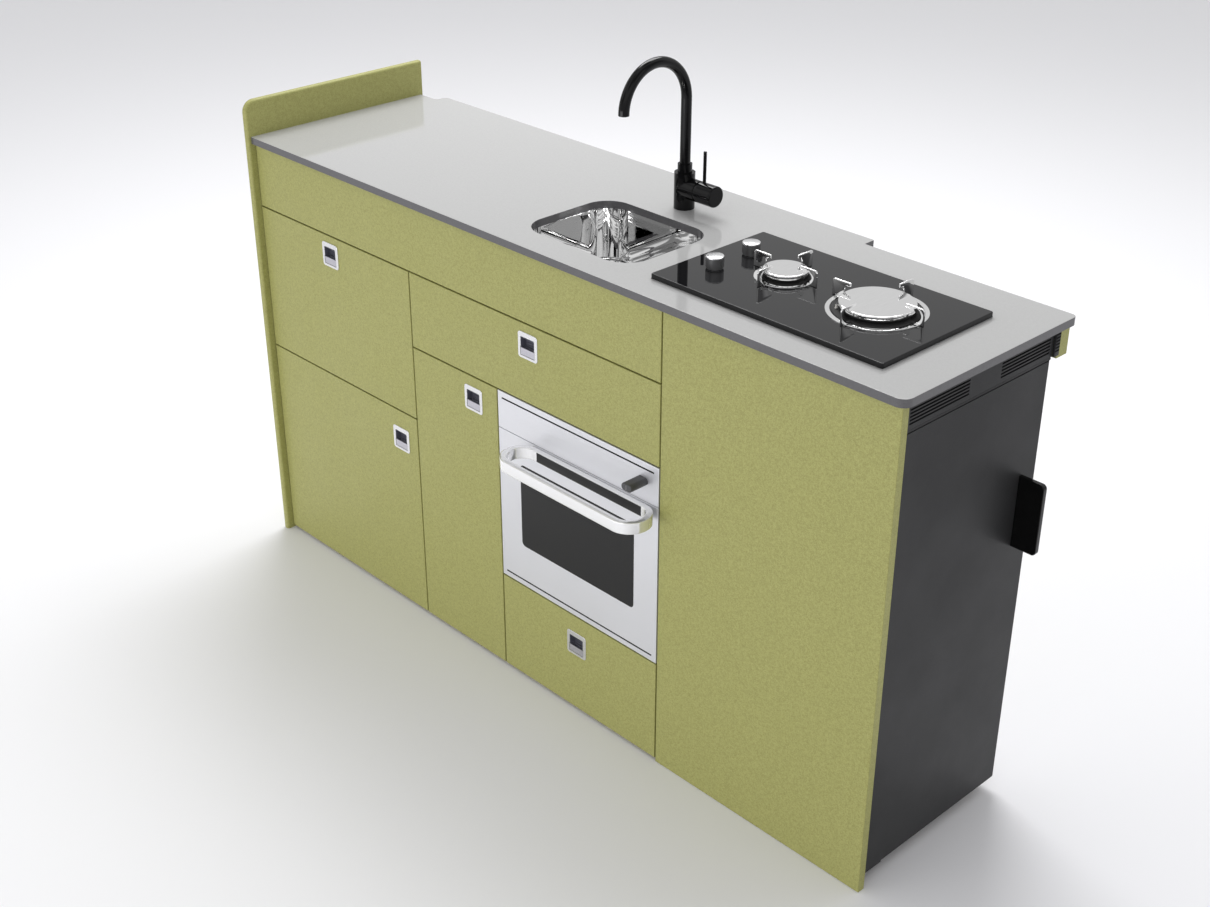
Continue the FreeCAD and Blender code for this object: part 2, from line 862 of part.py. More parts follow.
def sink_bowl():
    low = "sink_floor - sink_wall"
    bowl = body("bowl")
    shell = rectangle(grown("sink_left", "sink_right", "sink_wall"),
                      grown("sink_front", "sink_back", "sink_wall"), "sink_corner_r + sink_wall")
    pad(bowl, "XY_Plane", [shell], low, "under_top")
    soften(bowl, "sink_floor_r + sink_wall", flat_at("Z", low))
    rim = rectangle(grown("sink_left", "sink_right", "sink_flange"),
                    grown("sink_front", "sink_back", "sink_flange"), "sink_corner_r + sink_flange")
    pad(bowl, "XY_Plane", [rim], "under_top - sink_wall", "under_top")
    inside = rectangle(("sink_left", "sink_right"), ("sink_front", "sink_back"), "sink_corner_r")
    room = plate("bowl_room", "XY_Plane", [inside], "sink_floor", "under_top + overrun")
    soften(room, "sink_floor_r", flat_at("Z", "sink_floor"))
    hole = rod("waste_hole", "waste_hole_r", "2 * overrun", ("sink_x", "sink_y", "sink_floor - overrun"))
    node(cut("bowl_hollowed", bowl, [room, hole]), "sink_bowl")


def sink_waste():
    flange_low = "sink_floor - sink_wall - waste_flange_thick"
    pipe_low = "waste_low - waste_pipe_long"
    profile = [
        ("waste_r - waste_wall - waste_ledge", "ledge_up - waste_wall", "0"),
        ("waste_r - waste_wall - waste_ledge", "ledge_up", "0"),
        ("waste_r - waste_wall", "ledge_up", "0"),
        ("waste_r - waste_wall", "sink_floor", "0"),
        ("waste_r", "sink_floor", "0"),
        ("waste_r", "flange_low", "0"),
        ("waste_r + waste_flange", "flange_low", "0"),
        ("waste_r + waste_flange", "flange_low - waste_wall", "0"),
        ("waste_r", "flange_low - waste_wall", "0"),
        ("waste_r", "waste_low", "0"),
        ("waste_pipe_r", "waste_low", "0"),
        ("waste_pipe_r", "pipe_low", "0"),
        ("waste_pipe_r - waste_wall", "pipe_low", "0"),
        ("waste_pipe_r - waste_wall", "waste_low + waste_wall", "0"),
        ("waste_r - waste_wall", "waste_low + waste_wall", "0"),
        ("waste_r - waste_wall", "ledge_up - waste_wall", "0"),
    ]
    swaps = {"flange_low": flange_low, "pipe_low": pipe_low}
    section = []
    for out, up, radius in profile:
        for word, text in swaps.items():
            up = up.replace(word, f"({text})")
        section.append((out, up, radius))
    at = ("sink_x", "sink_y", "0")
    placed_node(turned("waste", section, at), "sink_waste", at)


def sink_strainer():
    low = "ledge_up + clearance"
    edge = "waste_r - waste_wall - clearance"
    section = [
        ("0", low, "0"),
        (edge, low, "0"),
        (edge, f"{low} + strainer_thick", "0"),
        ("strainer_knob_r", f"{low} + strainer_thick", "0"),
        ("strainer_knob_r", f"{low} + strainer_knob_high", "strainer_knob_r / 2"),
        ("0", f"{low} + strainer_knob_high", "0"),
    ]
    at = ("sink_x", "sink_y", "0")
    placed_node(turned("strainer", section, at), "sink_strainer", at)


def tap_body():
    foot = ("tap_across", "tap_back", "top_high")
    column = rod("tap_column", "tap_body_r", "tap_body_high", foot)
    axis = ("tap_across", "tap_back", "tap_arm_z")
    arm = rod("tap_arm", "tap_arm_r", "tap_pivot_out - tap_socket_rim", axis, ALONG_X)
    shank = rod("tap_shank", "tap_hole_r - clearance", "tap_shank_long",
                ("tap_across", "tap_back", "top_high - tap_shank_long"))
    nut = rod("tap_nut", "tap_nut_r", "tap_nut_high",
              ("tap_across", "tap_back", "under_top - tap_nut_high"))
    socket = ball("tap_socket", "tap_socket_r", ("tap_pivot_x", "tap_back", "tap_arm_z"))
    bore = rod("tap_stem_bore", "tap_stem_r + running", "tap_pivot_out",
               ("tap_pivot_x - tap_socket_r - tap_stem_long", "tap_back", "tap_arm_z"), ALONG_X)
    solid = join("tap_solid", [column, arm, shank, nut])
    node(cut("tap_hollowed", solid, [socket, bore]), "tap_body")


def tap_handle():
    stem_at = ("tap_pivot_x - tap_socket_r - tap_stem_long", "tap_back", "tap_arm_z")
    stem = rod("tap_spindle", "tap_stem_r", "tap_stem_long", stem_at, ALONG_X)
    placed_node(stem, "tap_cartridge_stem", stem_at)
    pivot = ("tap_pivot_x", "tap_back", "tap_arm_z")
    dome = ball("cap_dome", "tap_arm_r", pivot)
    section = [
        ("0", "0", "0"),
        ("tap_arm_r", "0", "0"),
        ("tap_arm_r", "tap_cap_out", "tap_cap_edge_r"),
        ("0", "tap_cap_out", "0"),
    ]
    cap = turned("cap_drum", section, pivot, ALONG_X)
    whole = join("cap_solid", [dome, cap])
    foot = ("lever_x", "tap_back", "tap_arm_z + lever_foot")
    hole = rod("lever_hole", "lever_r", "lever_top", foot)
    node(cut("cap_drilled", whole, [hole]), "tap_handle_cap")
    placed_node(rod("lever_rod", "lever_r", "lever_top - lever_foot", foot), "tap_lever", foot)


def arch(name, radius):
    bend = doc.addObject("Part::Torus", name)
    bind(bend, "Radius1", "arch_r")
    bind(bend, "Radius2", radius)
    bend.Angle3 = 180
    put(bend, "tap_across", "tap_back - arch_r", "arch_z", ARCH_TURN)
    return bend


def tap_spout():
    foot = ("tap_across", "tap_back", "collar_low")
    outer = [
        rod("collar", "collar_r", "collar_high", foot),
        rod("tube", "tube_r", "arch_z - collar_low", foot),
        arch("arch_outer", "tube_r"),
    ]
    inner = [
        rod("tube_bore", "tube_r - tube_wall", "arch_z - collar_low", foot),
        arch("arch_bore", "tube_r - tube_wall"),
    ]
    node(cut("spout", join("spout_solid", outer), inner), "tap_spout")


BURNERS = ("small", "large")


def hob_glass():
    glass = body("hob_plate")
    sheet_edges = rectangle(("hob_left", "hob_right"), ("hob_front", "hob_back"), "hob_corner_r")
    pad(glass, "XY_Plane", [sheet_edges], "glass_low", "glass_top")
    soften(glass, "hob_edge_r", flat_at("Z", "glass_top"))
    holes = []
    for y in ("hob_knob_front_y", "hob_knob_back_y"):
        holes.append(("circle", "hob_knob_across", y, "hob_spindle_r + running"))
    for size in BURNERS:
        radius = f"burner_{size}_base_r - burner_well_inset"
        holes.append(("circle", f"burner_{size}_x", "burner_y", radius))
    pocket(glass, "XY_Plane", holes, "glass_low - overrun", "glass_top + overrun")
    node(glass, "hob_glass")


def hob_tray():
    tray = body("tray")
    rim_x = ("hob_left + hob_corner_r", "hob_right - hob_corner_r")
    rim_y = ("hob_front + hob_corner_r", "hob_back - hob_corner_r")
    drop_x = grown("hob_left + hob_rim", "hob_right - hob_rim", "-clearance")
    drop_y = grown("hob_front + hob_rim", "hob_back - hob_rim", "-clearance")
    inner_x = grown(drop_x[0], drop_x[1], "-hob_tray_wall")
    inner_y = grown(drop_y[0], drop_y[1], "-hob_tray_wall")
    pad(tray, "XY_Plane", [rectangle(drop_x, drop_y)], "tray_low", "top_high")
    pad(tray, "XY_Plane", [rectangle(rim_x, rim_y)], "top_high", "glass_low")
    pocket(tray, "XY_Plane", [rectangle(inner_x, inner_y)], "tray_low + hob_tray_wall",
           "glass_low + overrun")
    node(tray, "hob_tray")


def gas_valves():
    valves = []
    for index, y in enumerate(("hob_knob_front_y", "hob_knob_back_y")):
        base = box(f"valve_{index}", grown("hob_knob_across", "hob_knob_across", "valve_wide / 2"),
                   grown(y, y, "valve_wide / 2"), ("tray_low + hob_tray_wall", "glass_low"))
        spindle = rod(f"spindle_{index}", "hob_spindle_r", "hob_glass_thick + hob_spindle_up",
                      ("hob_knob_across", y, "glass_low"))
        valves.append(join(f"hob_valve_{index}", [base, spindle]))
    at = ("oven_knob_across", "oven_fascia_thick", "oven_knob_up")
    block = box("oven_valve_block", grown(at[0], at[0], "oven_valve_wide / 2"),
                ("oven_fascia_thick", "oven_fascia_thick + oven_valve_deep"),
                grown(at[2], at[2], "oven_valve_wide / 2"))
    spindle = rod("oven_spindle", "oven_spindle_r", "oven_fascia_thick + oven_knob_long / 2", at,
                  TOWARDS_FRONT)
    valves.append(join("oven_valve", [block, spindle]))
    node(group("valves_all", valves), "gas_valves")


def hob_knobs():
    reach = "hob_spindle_up - hob_knob_gap + clearance"
    section = [
        ("0", reach, "0"),
        ("hob_spindle_r + running", reach, "0"),
        ("hob_spindle_r + running", "0", "0"),
        ("hob_knob_r", "0", "0"),
        ("hob_knob_r", "hob_knob_high", "hob_knob_edge_r"),
        ("0", "hob_knob_high", "0"),
    ]
    places = {"hob_knob_small": "hob_knob_back_y", "hob_knob_large": "hob_knob_front_y"}
    for name, y in places.items():
        at = ("hob_knob_across", y, "hob_knob_low")
        placed_node(turned(name + "_turned", section, at), name, at)


def burner_bases():
    pieces = []
    for size in BURNERS:
        at = (f"burner_{size}_x", "burner_y", "0")
        base_r = f"burner_{size}_base_r"
        cap_r = f"burner_{size}_cap_r"
        well_r = f"{base_r} - burner_well_inset - clearance"
        well_low = "tray_low + hob_tray_wall"
        section = [
            (well_r, well_low, "0"),
            (well_r, "glass_top", "0"),
            (base_r, "glass_top", "0"),
            (base_r, "glass_top + burner_ring_high", "0"),
            (f"{cap_r} - burner_step", "glass_top + burner_step", "0"),
            (f"{cap_r} - burner_step", "glass_top + burner_base_up", "0"),
            ("0", "glass_top + burner_base_up", "0"),
            ("0", "glass_top - burner_wall", "0"),
            (f"{well_r} - burner_wall", "glass_top - burner_wall", "0"),
            (f"{well_r} - burner_wall", well_low, "0"),
        ]
        pieces.append(turned(f"burner_base_{size}", section, at))
        ring_r = f"burner_{size}_ring_r"
        ring_in = f"{ring_r} - burner_ring_width"
        ring = [
            (ring_in, "glass_top", "0"),
            (ring_r, "glass_top", "0"),
            (ring_r, "glass_top + burner_ring_high", "burner_ring_high / 2"),
            (ring_in, "glass_top + burner_ring_high", "burner_ring_high / 2"),
        ]
        pieces.append(turned(f"burner_ring_{size}", ring, at))
    node(group("burner_bases_all", pieces), "burner_bases")


def burner_caps():
    for size in BURNERS:
        radius = f"burner_{size}_cap_r"
        section = [
            ("0", "0", "0"),
            (radius, "0", "0"),
            (radius, "burner_cap_high", "burner_cap_edge_r"),
            ("0", "burner_cap_high", "0"),
        ]
        at = (f"burner_{size}_x", "burner_y", "glass_top + burner_base_up + clearance")
        placed_node(turned(f"cap_{size}", section, at), f"burner_cap_{size}", at)


def pan_prongs():
    """Four upright plates round each burner, arched over its cap and ring down to the glass."""
    for size in BURNERS:
        prongs = []
        top = f"glass_top + prong_{size}_top"
        inner = f"prong_{size}_in"
        outer = f"prong_{size}_out"
        leg = f"burner_{size}_cap_r + prong_leg_gap"
        foot = f"burner_{size}_ring_r + prong_foot_gap"
        outline = [
            (inner, f"{top} - prong_high", "0"),
            (leg, f"{top} - prong_high", "prong_arch_r"),
            (leg, "glass_top + prong_over", "0"),
            (foot, "glass_top + prong_over", "0"),
            (foot, "glass_top", "0"),
            (outer, "glass_top", "0"),
            (outer, top, "prong_corner_r"),
            (inner, top, "0"),
        ]
        for quarter in range(4):
            prong = plate(f"prong_{size}_{quarter}", "XZ_Plane", [outline], "-prong_thick / 2",
                          "prong_thick / 2")
            put(prong, f"burner_{size}_x", "burner_y", "0", Rotation(Vector(0, 0, 1), 90 * quarter))
            prongs.append(prong)
        node(group(f"prongs_{size}", prongs), f"pan_prongs_{size}")


def oven_case():
    """A sheet casing open at the back, with the cavity's liner inside it."""
    inner = grown("case_left", "case_right", "-oven_wall")
    shell = join("case_outside", [
        box("case_main", ("case_left", "case_right"), ("oven_case_front", "oven_case_back"),
            ("case_low", "oven_case_top")),
        box("case_control_box", ("case_left", "case_right"), ("oven_fascia_thick", "oven_case_front"),
            ("oven_fascia_low", "oven_case_top")),
    ])
    space = box("case_space", grown("case_left", "case_right", "-oven_sheet"),
                ("oven_case_front + oven_sheet", "oven_case_back + overrun"),
                ("case_low + oven_sheet", "oven_case_top - oven_sheet"))
    control = box("control_space", grown("case_left", "case_right", "-oven_sheet"),
                  ("oven_fascia_thick + oven_sheet", "oven_case_front + overrun"),
                  ("oven_fascia_low + oven_sheet", "oven_case_top - oven_sheet"))
    liner = box("liner", grown(inner[0], inner[1], "oven_sheet"),
                ("oven_case_front", "oven_cavity_back + oven_sheet"),
                grown("oven_cavity_low", "oven_cavity_top", "oven_sheet"))
    solid = join("case_solid", [cut("case_sheets", shell, [space, control]), liner])
    cavity = box("cavity", inner, ("oven_case_front - overrun", "oven_cavity_back"),
                 ("oven_cavity_low", "oven_cavity_top"))
    bay = box("valve_bay", grown("oven_knob_across", "oven_knob_across", "oven_valve_wide / 2 + clearance"),
              ("0", "oven_fascia_thick + oven_valve_deep + clearance"),
              grown("oven_knob_up", "oven_knob_up", "oven_valve_wide / 2 + clearance"))
    node(cut("case_hollowed", solid, [cavity, bay]), "oven_case")


def oven_front():
    across = ("oven_left", "oven_right")
    line = ("oven_left + groove_side", "oven_right - groove_side")
    fascia = plate("fascia_plate", "XZ_Plane", [rectangle(across, ("oven_fascia_low", "oven_fascia_top"))],
                   "0", "oven_fascia_thick")
    soften(fascia, "oven_edge_r", flat_at("Y", "0"))
    groove = rectangle(line, grown("groove_top_line", "groove_top_line", "groove_high / 2"))
    pocket(fascia, "XZ_Plane", [groove], "-overrun", "groove_depth")
    hole = ("circle", "oven_knob_across", "oven_knob_up", "oven_spindle_r + running")
    pocket(fascia, "XZ_Plane", [hole], "-overrun", "oven_fascia_thick + overrun")
    node(fascia, "oven_fascia")

    door = plate("door_plate", "XZ_Plane", [rectangle(across, ("oven_door_low", "oven_split"))],
                 "0", "oven_skin")
    soften(door, "oven_edge_r", flat_at("Y", "0"))
    plug = rectangle(grown("oven_left", "oven_right", "-oven_plug_side"),
                     ("oven_door_low + oven_plug_low", "oven_cavity_top - clearance"))
    pad(door, "XZ_Plane", [plug], "oven_skin", "oven_plug_back")
    groove = rectangle(line, grown("groove_low_line", "groove_low_line", "groove_high / 2"))
    pocket(door, "XZ_Plane", [groove], "-overrun", "groove_depth")
    glass = rectangle(("window_left", "window_right"), ("window_low", "window_top"), "window_r")
    pocket(door, "XZ_Plane", [glass], "-overrun", "window_thick")
    room = rectangle(grown("oven_left", "oven_right", "-(oven_plug_side + oven_door_rim)"),
                     ("oven_door_low + oven_plug_low + oven_door_rim",
                      "oven_cavity_top - clearance - oven_door_rim"))
    pocket(door, "XZ_Plane", [room], "window_thick + oven_door_sheet", "oven_plug_back + overrun")
    view = rectangle(grown("window_left", "window_right", "-window_seat"),
                     grown("window_low", "window_top", "-window_seat"))
    pocket(door, "XZ_Plane", [view], "0", "oven_plug_back")
    for arm in oven_arm_places():
        slot_x = (f"{arm} - oven_arm_thick / 2 - clearance", f"{arm} + oven_arm_thick / 2 + clearance")
        slot_z = ("oven_door_low - overrun", "oven_hinge_z + oven_arm_half + clearance")
        pocket(door, "XZ_Plane", [rectangle(slot_x, slot_z)],
               "oven_hinge_back - oven_arm_half - clearance", "oven_plug_back + overrun")
    for arm in oven_arm_places():
        bore = ("circle", "oven_hinge_back", "oven_hinge_z", "oven_pin_r + running")
        pocket(door, "YZ_Plane", [bore], f"{arm} - oven_pin_long / 2 - clearance",
               f"{arm} + oven_pin_long / 2 + clearance")
    node(door, "oven_door")
    pane = plate("pane", "XZ_Plane", [glass], "0", "window_thick")
    node(pane, "oven_window")


def oven_arm_places():
    return ("case_left + oven_arm_side", "case_right - oven_arm_side")


def oven_hinges():
    arms = []
    for index, place in enumerate(oven_arm_places()):
        wide = grown(place, place, "oven_arm_thick / 2")
        pivot = "oven_hinge_back"
        bar = box(f"arm_bar_{index}", wide, (pivot, "oven_case_front"),
                  grown("oven_hinge_z", "oven_hinge_z", "oven_arm_half"))
        eye = rod(f"arm_eye_{index}", "oven_arm_half", "oven_arm_thick", (wide[0], pivot, "oven_hinge_z"),
                  ALONG_X)
        pin = rod(f"arm_pin_{index}", "oven_pin_r", "oven_pin_long",
                  (f"{place} - oven_pin_long / 2", pivot, "oven_hinge_z"), ALONG_X)
        arms.append(join(f"arm_{index}", [bar, eye, pin]))
    node(group("oven_arms", arms), "oven_hinge_arms")


def oven_handle():
    loop = body("loop")
    ends = ("handle_left", "handle_right")
    outer = rectangle(ends, ("-handle_out", "0"), "handle_end_r - running")
    pad(loop, "XY_Plane", [outer], "handle_low", "handle_top")
    inner = rectangle(grown("handle_left", "handle_right", "-handle_thick"),
                      ("handle_thick - handle_out", "-handle_thick"),
                      "handle_end_r - handle_thick - running")
    pocket(loop, "XY_Plane", [inner], "handle_low - overrun", "handle_top + overrun")
    soften(loop, "handle_edge_r", either(flat_at("Z", "handle_low"), flat_at("Z", "handle_top")))
    node(loop, "oven_handle")


def oven_knob():
    """An oval bar that is pushed on its spindle."""
    front = "-oven_knob_gap - oven_knob_long"
    bar = body("knob_bar")
    outline = rectangle(grown("oven_knob_across", "oven_knob_across", "oven_knob_wide / 2"),
                        grown("oven_knob_up", "oven_knob_up", "oven_knob_high / 2"), "oven_knob_round")
    pad(bar, "XZ_Plane", [outline], front, "-oven_knob_gap")
    soften(bar, "oven_knob_edge_r", flat_at("Y", front))
    hole = ("circle", "oven_knob_across", "oven_knob_up", "oven_spindle_r + running")
    pocket(bar, "XZ_Plane", [hole], "-oven_knob_long / 2 - clearance", "overrun - oven_knob_gap")
    node(bar, "oven_knob")


def wire_shelf(name, x, y, up, thick):
    """A rim with cross bars."""
    rim = cut(name + "_rim", box(name + "_outer", x, y, (up, f"{up} + {thick}")),
              [box(name + "_inner", grown(x[0], x[1], f"-{thick}"), grown(y[0], y[1], f"-{thick}"),
                   (f"{up} - overrun", f"{up} + {thick} + overrun"))])
    bars = [rim]
    count = 6
    for index in range(1, count):
        middle = f"({x[0]}) + (({x[1]}) - ({x[0]})) * {index} / {count}"
        bars.append(box(f"{name}_bar_{index}", grown(middle, middle, f"{thick} / 4"), y,
                        (up, f"{up} + {thick} / 2")))
    return join(name, bars)


def wire_shelves():
    racks = [wire_shelf("oven_rack", grown("case_left", "case_right", "-oven_wall"),
                        ("oven_case_front + oven_wall", "oven_cavity_back"), "rack_up",
                        "fridge_shelf_thick")]
    inside_y = grown("fridge_near", "fridge_far", "-fridge_wall")
    for level in ("low", "mid", "high"):
        racks.append(wire_shelf(f"fridge_rack_{level}",
                                ("fridge_left + fridge_wall", "cabinet_front - 2 * fridge_wall"),
                                inside_y, f"fridge_shelf_{level}", "fridge_shelf_thick"))
    node(group("racks", racks), "wire_shelves")


def fridge_cabinet():
    outer = box("fridge_outer", ("fridge_left", "cabinet_front"), ("fridge_near", "fridge_far"),
                ("fridge_low", "fridge_top"))
    inside_y = grown("fridge_near", "fridge_far", "-fridge_wall")
    upper = box("fridge_upper_room", ("fridge_left + fridge_wall", "cabinet_front + overrun"), inside_y,
                ("fridge_low + fridge_bay_high + fridge_wall", "fridge_top - fridge_wall"))
    lower = box("fridge_lower_room", ("fridge_left + fridge_bay_deep + fridge_wall",
                                      "cabinet_front + overrun"), inside_y,
                ("fridge_low + fridge_wall", "fridge_low + fridge_bay_high + 2 * fridge_wall"))
    bay = box("fridge_machine_bay", ("fridge_left - overrun", "fridge_left + fridge_bay_deep"), inside_y,
              ("fridge_low + fridge_floor_wall", "fridge_low + fridge_bay_high"))
    shell = cut("fridge_shell", outer, [upper, lower, bay])
    feet = []
    near = ("fridge_near + fridge_foot_inset", "fridge_far - fridge_foot_inset")
    along = ("fridge_left + fridge_foot_inset", "cabinet_front - fridge_foot_inset")
    for column, x in enumerate(along):
        for row, y in enumerate(near):
            feet.append(rod(f"foot_{column}_{row}", "fridge_foot_r", "fridge_low - board", (x, y, "board")))
    node(join("fridge_body", [shell] + feet), "fridge_cabinet")


def fridge_compressor():
    low = "fridge_low + fridge_floor_wall"
    section = [
        ("0", "0", "0"),
        ("compressor_r", "0", "0"),
        ("compressor_r", "compressor_high", "compressor_edge_r"),
        ("0", "compressor_high", "0"),
    ]
    at = ("fridge_left + fridge_bay_deep / 2", "(fridge_near + fridge_far) / 2", low)
    placed_node(turned("pump", section, at), "fridge_compressor", at)


def fridge_hinges():
    """A full-width top trim plate and a short bottom plate, each with a door pin."""
    plates = []
    deep_x = ("cabinet_front", "fridge_front - seam / 3")
    levels = {
        "top": ("fridge_top + fridge_plate_gap", "fridge_far", "fridge_top - fridge_pin_long"),
        "low": ("fridge_low - fridge_plate_gap - fridge_plate", "fridge_near + fridge_hinge_plate_deep",
                "fridge_low - fridge_plate_gap - fridge_plate"),
    }
    for name, (low, far, pin_low) in levels.items():
        flat = box(f"hinge_flat_{name}", deep_x, ("fridge_near", far), (low, f"{low} + fridge_plate"))
        pin = rod(f"hinge_pin_{name}", "fridge_pin_r", "fridge_pin_long + fridge_plate_gap + fridge_plate",
                  ("fridge_pin_at_x", "fridge_pin_at_y", pin_low))
        stay_x = ("cabinet_front - fridge_hinge_plate_deep", "cabinet_front")
        stay_low = "fridge_top" if name == "top" else low
        stay_top = f"{low} + fridge_plate" if name == "top" else "fridge_low"
        stay = box(f"hinge_stay_{name}", stay_x, ("fridge_near", far), (stay_low, stay_top))
        plates.append(join(f"hinge_{name}", [flat, pin, stay]))
    node(group("hinges_all", plates), "fridge_hinges")


def fridge_door():
    door = plate("fridge_leaf", "YZ_Plane",
                 [rectangle(("fridge_near", "fridge_far - running"), ("fridge_low", "fridge_top"))],
                 "door_back_x", "fridge_front")
    soften(door, "fridge_door_edge_r", both(flat_at("X", "fridge_front"), flat_at("Y", "fridge_far - running")))
    recess = rectangle(grown("fridge_near", "fridge_far", "-fridge_door_rim"),
                       grown("fridge_low", "fridge_top", "-fridge_door_rim"))
    pocket(door, "YZ_Plane", [recess], "door_back_x - overrun", "door_back_x + fridge_door_recess")
    hole = ("circle", "fridge_pin_at_x", "fridge_pin_at_y", "fridge_pin_r + running")
    pocket(door, "XY_Plane", [hole], "fridge_top - fridge_pin_long - clearance", "fridge_top + overrun")
    pocket(door, "XY_Plane", [hole], "fridge_low - overrun", "fridge_low + fridge_pin_long + clearance")
    node(door, "fridge_door")


def fridge_handle():
    far = "fridge_far - fin_far + fin_thick"
    outline = [
        ("fridge_front", "fin_low", "0"),
        ("fridge_front + fin_out", "fin_low", "fin_r"),
        ("fridge_front + fin_out", "fin_low + fin_high", "fin_r"),
        ("fridge_front", "fin_low + fin_high", "0"),
    ]
    fin = plate("fin", "XZ_Plane", [outline], f"{far} - fin_thick", far)
    soften(fin, "board_edge_r", either(flat_at("Y", far), flat_at("Y", f"{far} - fin_thick")))
    node(fin, "fridge_handle")


def vent_panel():
    panel = box("vent_sheet", ("fridge_front - vent_thick", "fridge_front"), ("vent_near", "fridge_far"),
                ("vent_low", "under_top"))
    slots = []
    through = ("fridge_front - vent_thick - overrun", "fridge_front + overrun")
    for side in ("one", "two"):
        for index in range(int(number("slot_count"))):
            low = f"slot_low + {index} * slot_pitch"
            slots.append(box(f"slot_{side}_{index}", through, (f"slot_{side}_near", f"slot_{side}_far"),
                             (low, f"{low} + slot_high")))
    node(cut("vent_slotted", panel, slots), "vent_panel")


LATCHES = {
    "upper_left_drawer": ("latch_a_x", "latch_a_z", "rail_low"),
    "upper_middle_drawer": ("latch_b_x", "latch_b_z", "rail_low"),
    "bottom_drawer": ("latch_c_x", "latch_c_z", "shelf_oven_low"),
    "lower_left_door": ("latch_d_x", "latch_d_z", "shelf_left_low"),
    "narrow_door": ("latch_e_x", "latch_e_z", "shelf_middle_low"),
}

FRONTS = {
    "upper_left_drawer": (("half_seam", "bay_one - half_seam"),
                          ("left_line + half_seam", "rail_line - half_seam")),
    "upper_middle_drawer": (("bay_one + half_seam", "bay_three - half_seam"),
                            ("middle_line + half_seam", "rail_line - half_seam")),
    "bottom_drawer": (("bay_two + half_seam", "bay_three - half_seam"),
                      ("toe_line", "oven_line - half_seam")),
    "lower_left_door": (("half_seam", "bay_one - half_seam"), ("toe_line", "left_line - half_seam")),
    "narrow_door": (("bay_one + half_seam", "bay_two - half_seam"), ("toe_line", "middle_line - half_seam")),
}


def moving_fronts():
    for name, (x, z) in FRONTS.items():
        board = front_board(name, x, z, "door_thick")
        at_x, at_z, rail = LATCHES[name]
        hole = rectangle(grown(at_x, at_x, "latch_cup / 2 + latch_fit"),
                         grown(at_z, at_z, "latch_cup / 2 + latch_fit"))
        pocket(board, "XZ_Plane", [hole], "-overrun", "board + overrun")
        label = name + "_front" if name.endswith("drawer") else name
        node(board, label)


def latch_parts():
    """Each latch: a bezel and cup with a withdrawn bolt behind it, and a paddle that tips outwards."""
    for name, (at_x, at_z, rail) in LATCHES.items():
        cup = body(name + "_latch_cup")
        bezel = rectangle(grown(at_x, at_x, "latch / 2"), grown(at_z, at_z, "latch / 2"), "latch_r")
        pad(cup, "XZ_Plane", [bezel], "-latch_proud", "0")
        soften(cup, "latch_edge_r", flat_at("Y", "-latch_proud"))
        block = rectangle(grown(at_x, at_x, "latch_cup / 2"), grown(at_z, at_z, "latch_cup / 2"))
        pad(cup, "XZ_Plane", [block], "0", "door_thick")
        window_x = grown(at_x, at_x, "latch_window_wide / 2")
        window_top = f"{at_z} + latch / 2 - latch_window_drop"
        window_low = f"{window_top} - latch_window_high"
        window = rectangle(window_x, (window_low, window_top), "latch_window_r")
        pocket(cup, "XZ_Plane", [window], "-latch_proud - overrun", "latch_pocket")
        paddle_low = f"{window_low} - paddle_high"
        seat = rectangle(grown(window_x[0], window_x[1], "paddle_play"),
                         (f"{paddle_low} - paddle_play", f"{window_low} + latch_window_r"))
        pocket(cup, "XZ_Plane", [seat], "-latch_proud - overrun", "paddle_seat")
        pivot_z = f"{paddle_low} + paddle_pivot_up"
        pin_hole = ("circle", "0", pivot_z, "paddle_pin_r + running")
        pocket(cup, "YZ_Plane", [pin_hole], f"{window_x[0]} - paddle_play - paddle_pin_long - clearance",
               f"{window_x[1]} + paddle_play + paddle_pin_long + clearance")
        bolt = box(name + "_bolt", grown(at_x, at_x, "bolt_wide / 2"),
                   ("door_thick", "door_thick + bolt_thick"), (f"{at_z} + bolt_foot", f"{rail} - clearance"))
        node(group(name + "_latch_all", [cup, bolt]), name + "_latch")

        flap = box(name + "_flap", window_x, ("-paddle_front", "paddle_thick - paddle_front"),
                   (paddle_low, window_low))
        pin = rod(name + "_pin", "paddle_pin_r",
                  f"({window_x[1]}) - ({window_x[0]}) + 2 * (paddle_pin_long + paddle_play)",
                  (f"{window_x[0]} - paddle_play - paddle_pin_long", "0", pivot_z), ALONG_X)
        node(join(name + "_paddle_solid", [flap, pin]), name + "_paddle")


DRAWERS = {
    "upper_left_drawer": (("0", "bay_one - half_board"), ("upper_box_low", "upper_box_top")),
    "upper_middle_drawer": (("bay_one + half_board", "bay_three - half_board"),
                            ("middle_box_low", "middle_box_top")),
    "bottom_drawer": (("bay_two + half_board", "bay_three - half_board"),
                      ("bottom_box_low", "bottom_box_top")),
}


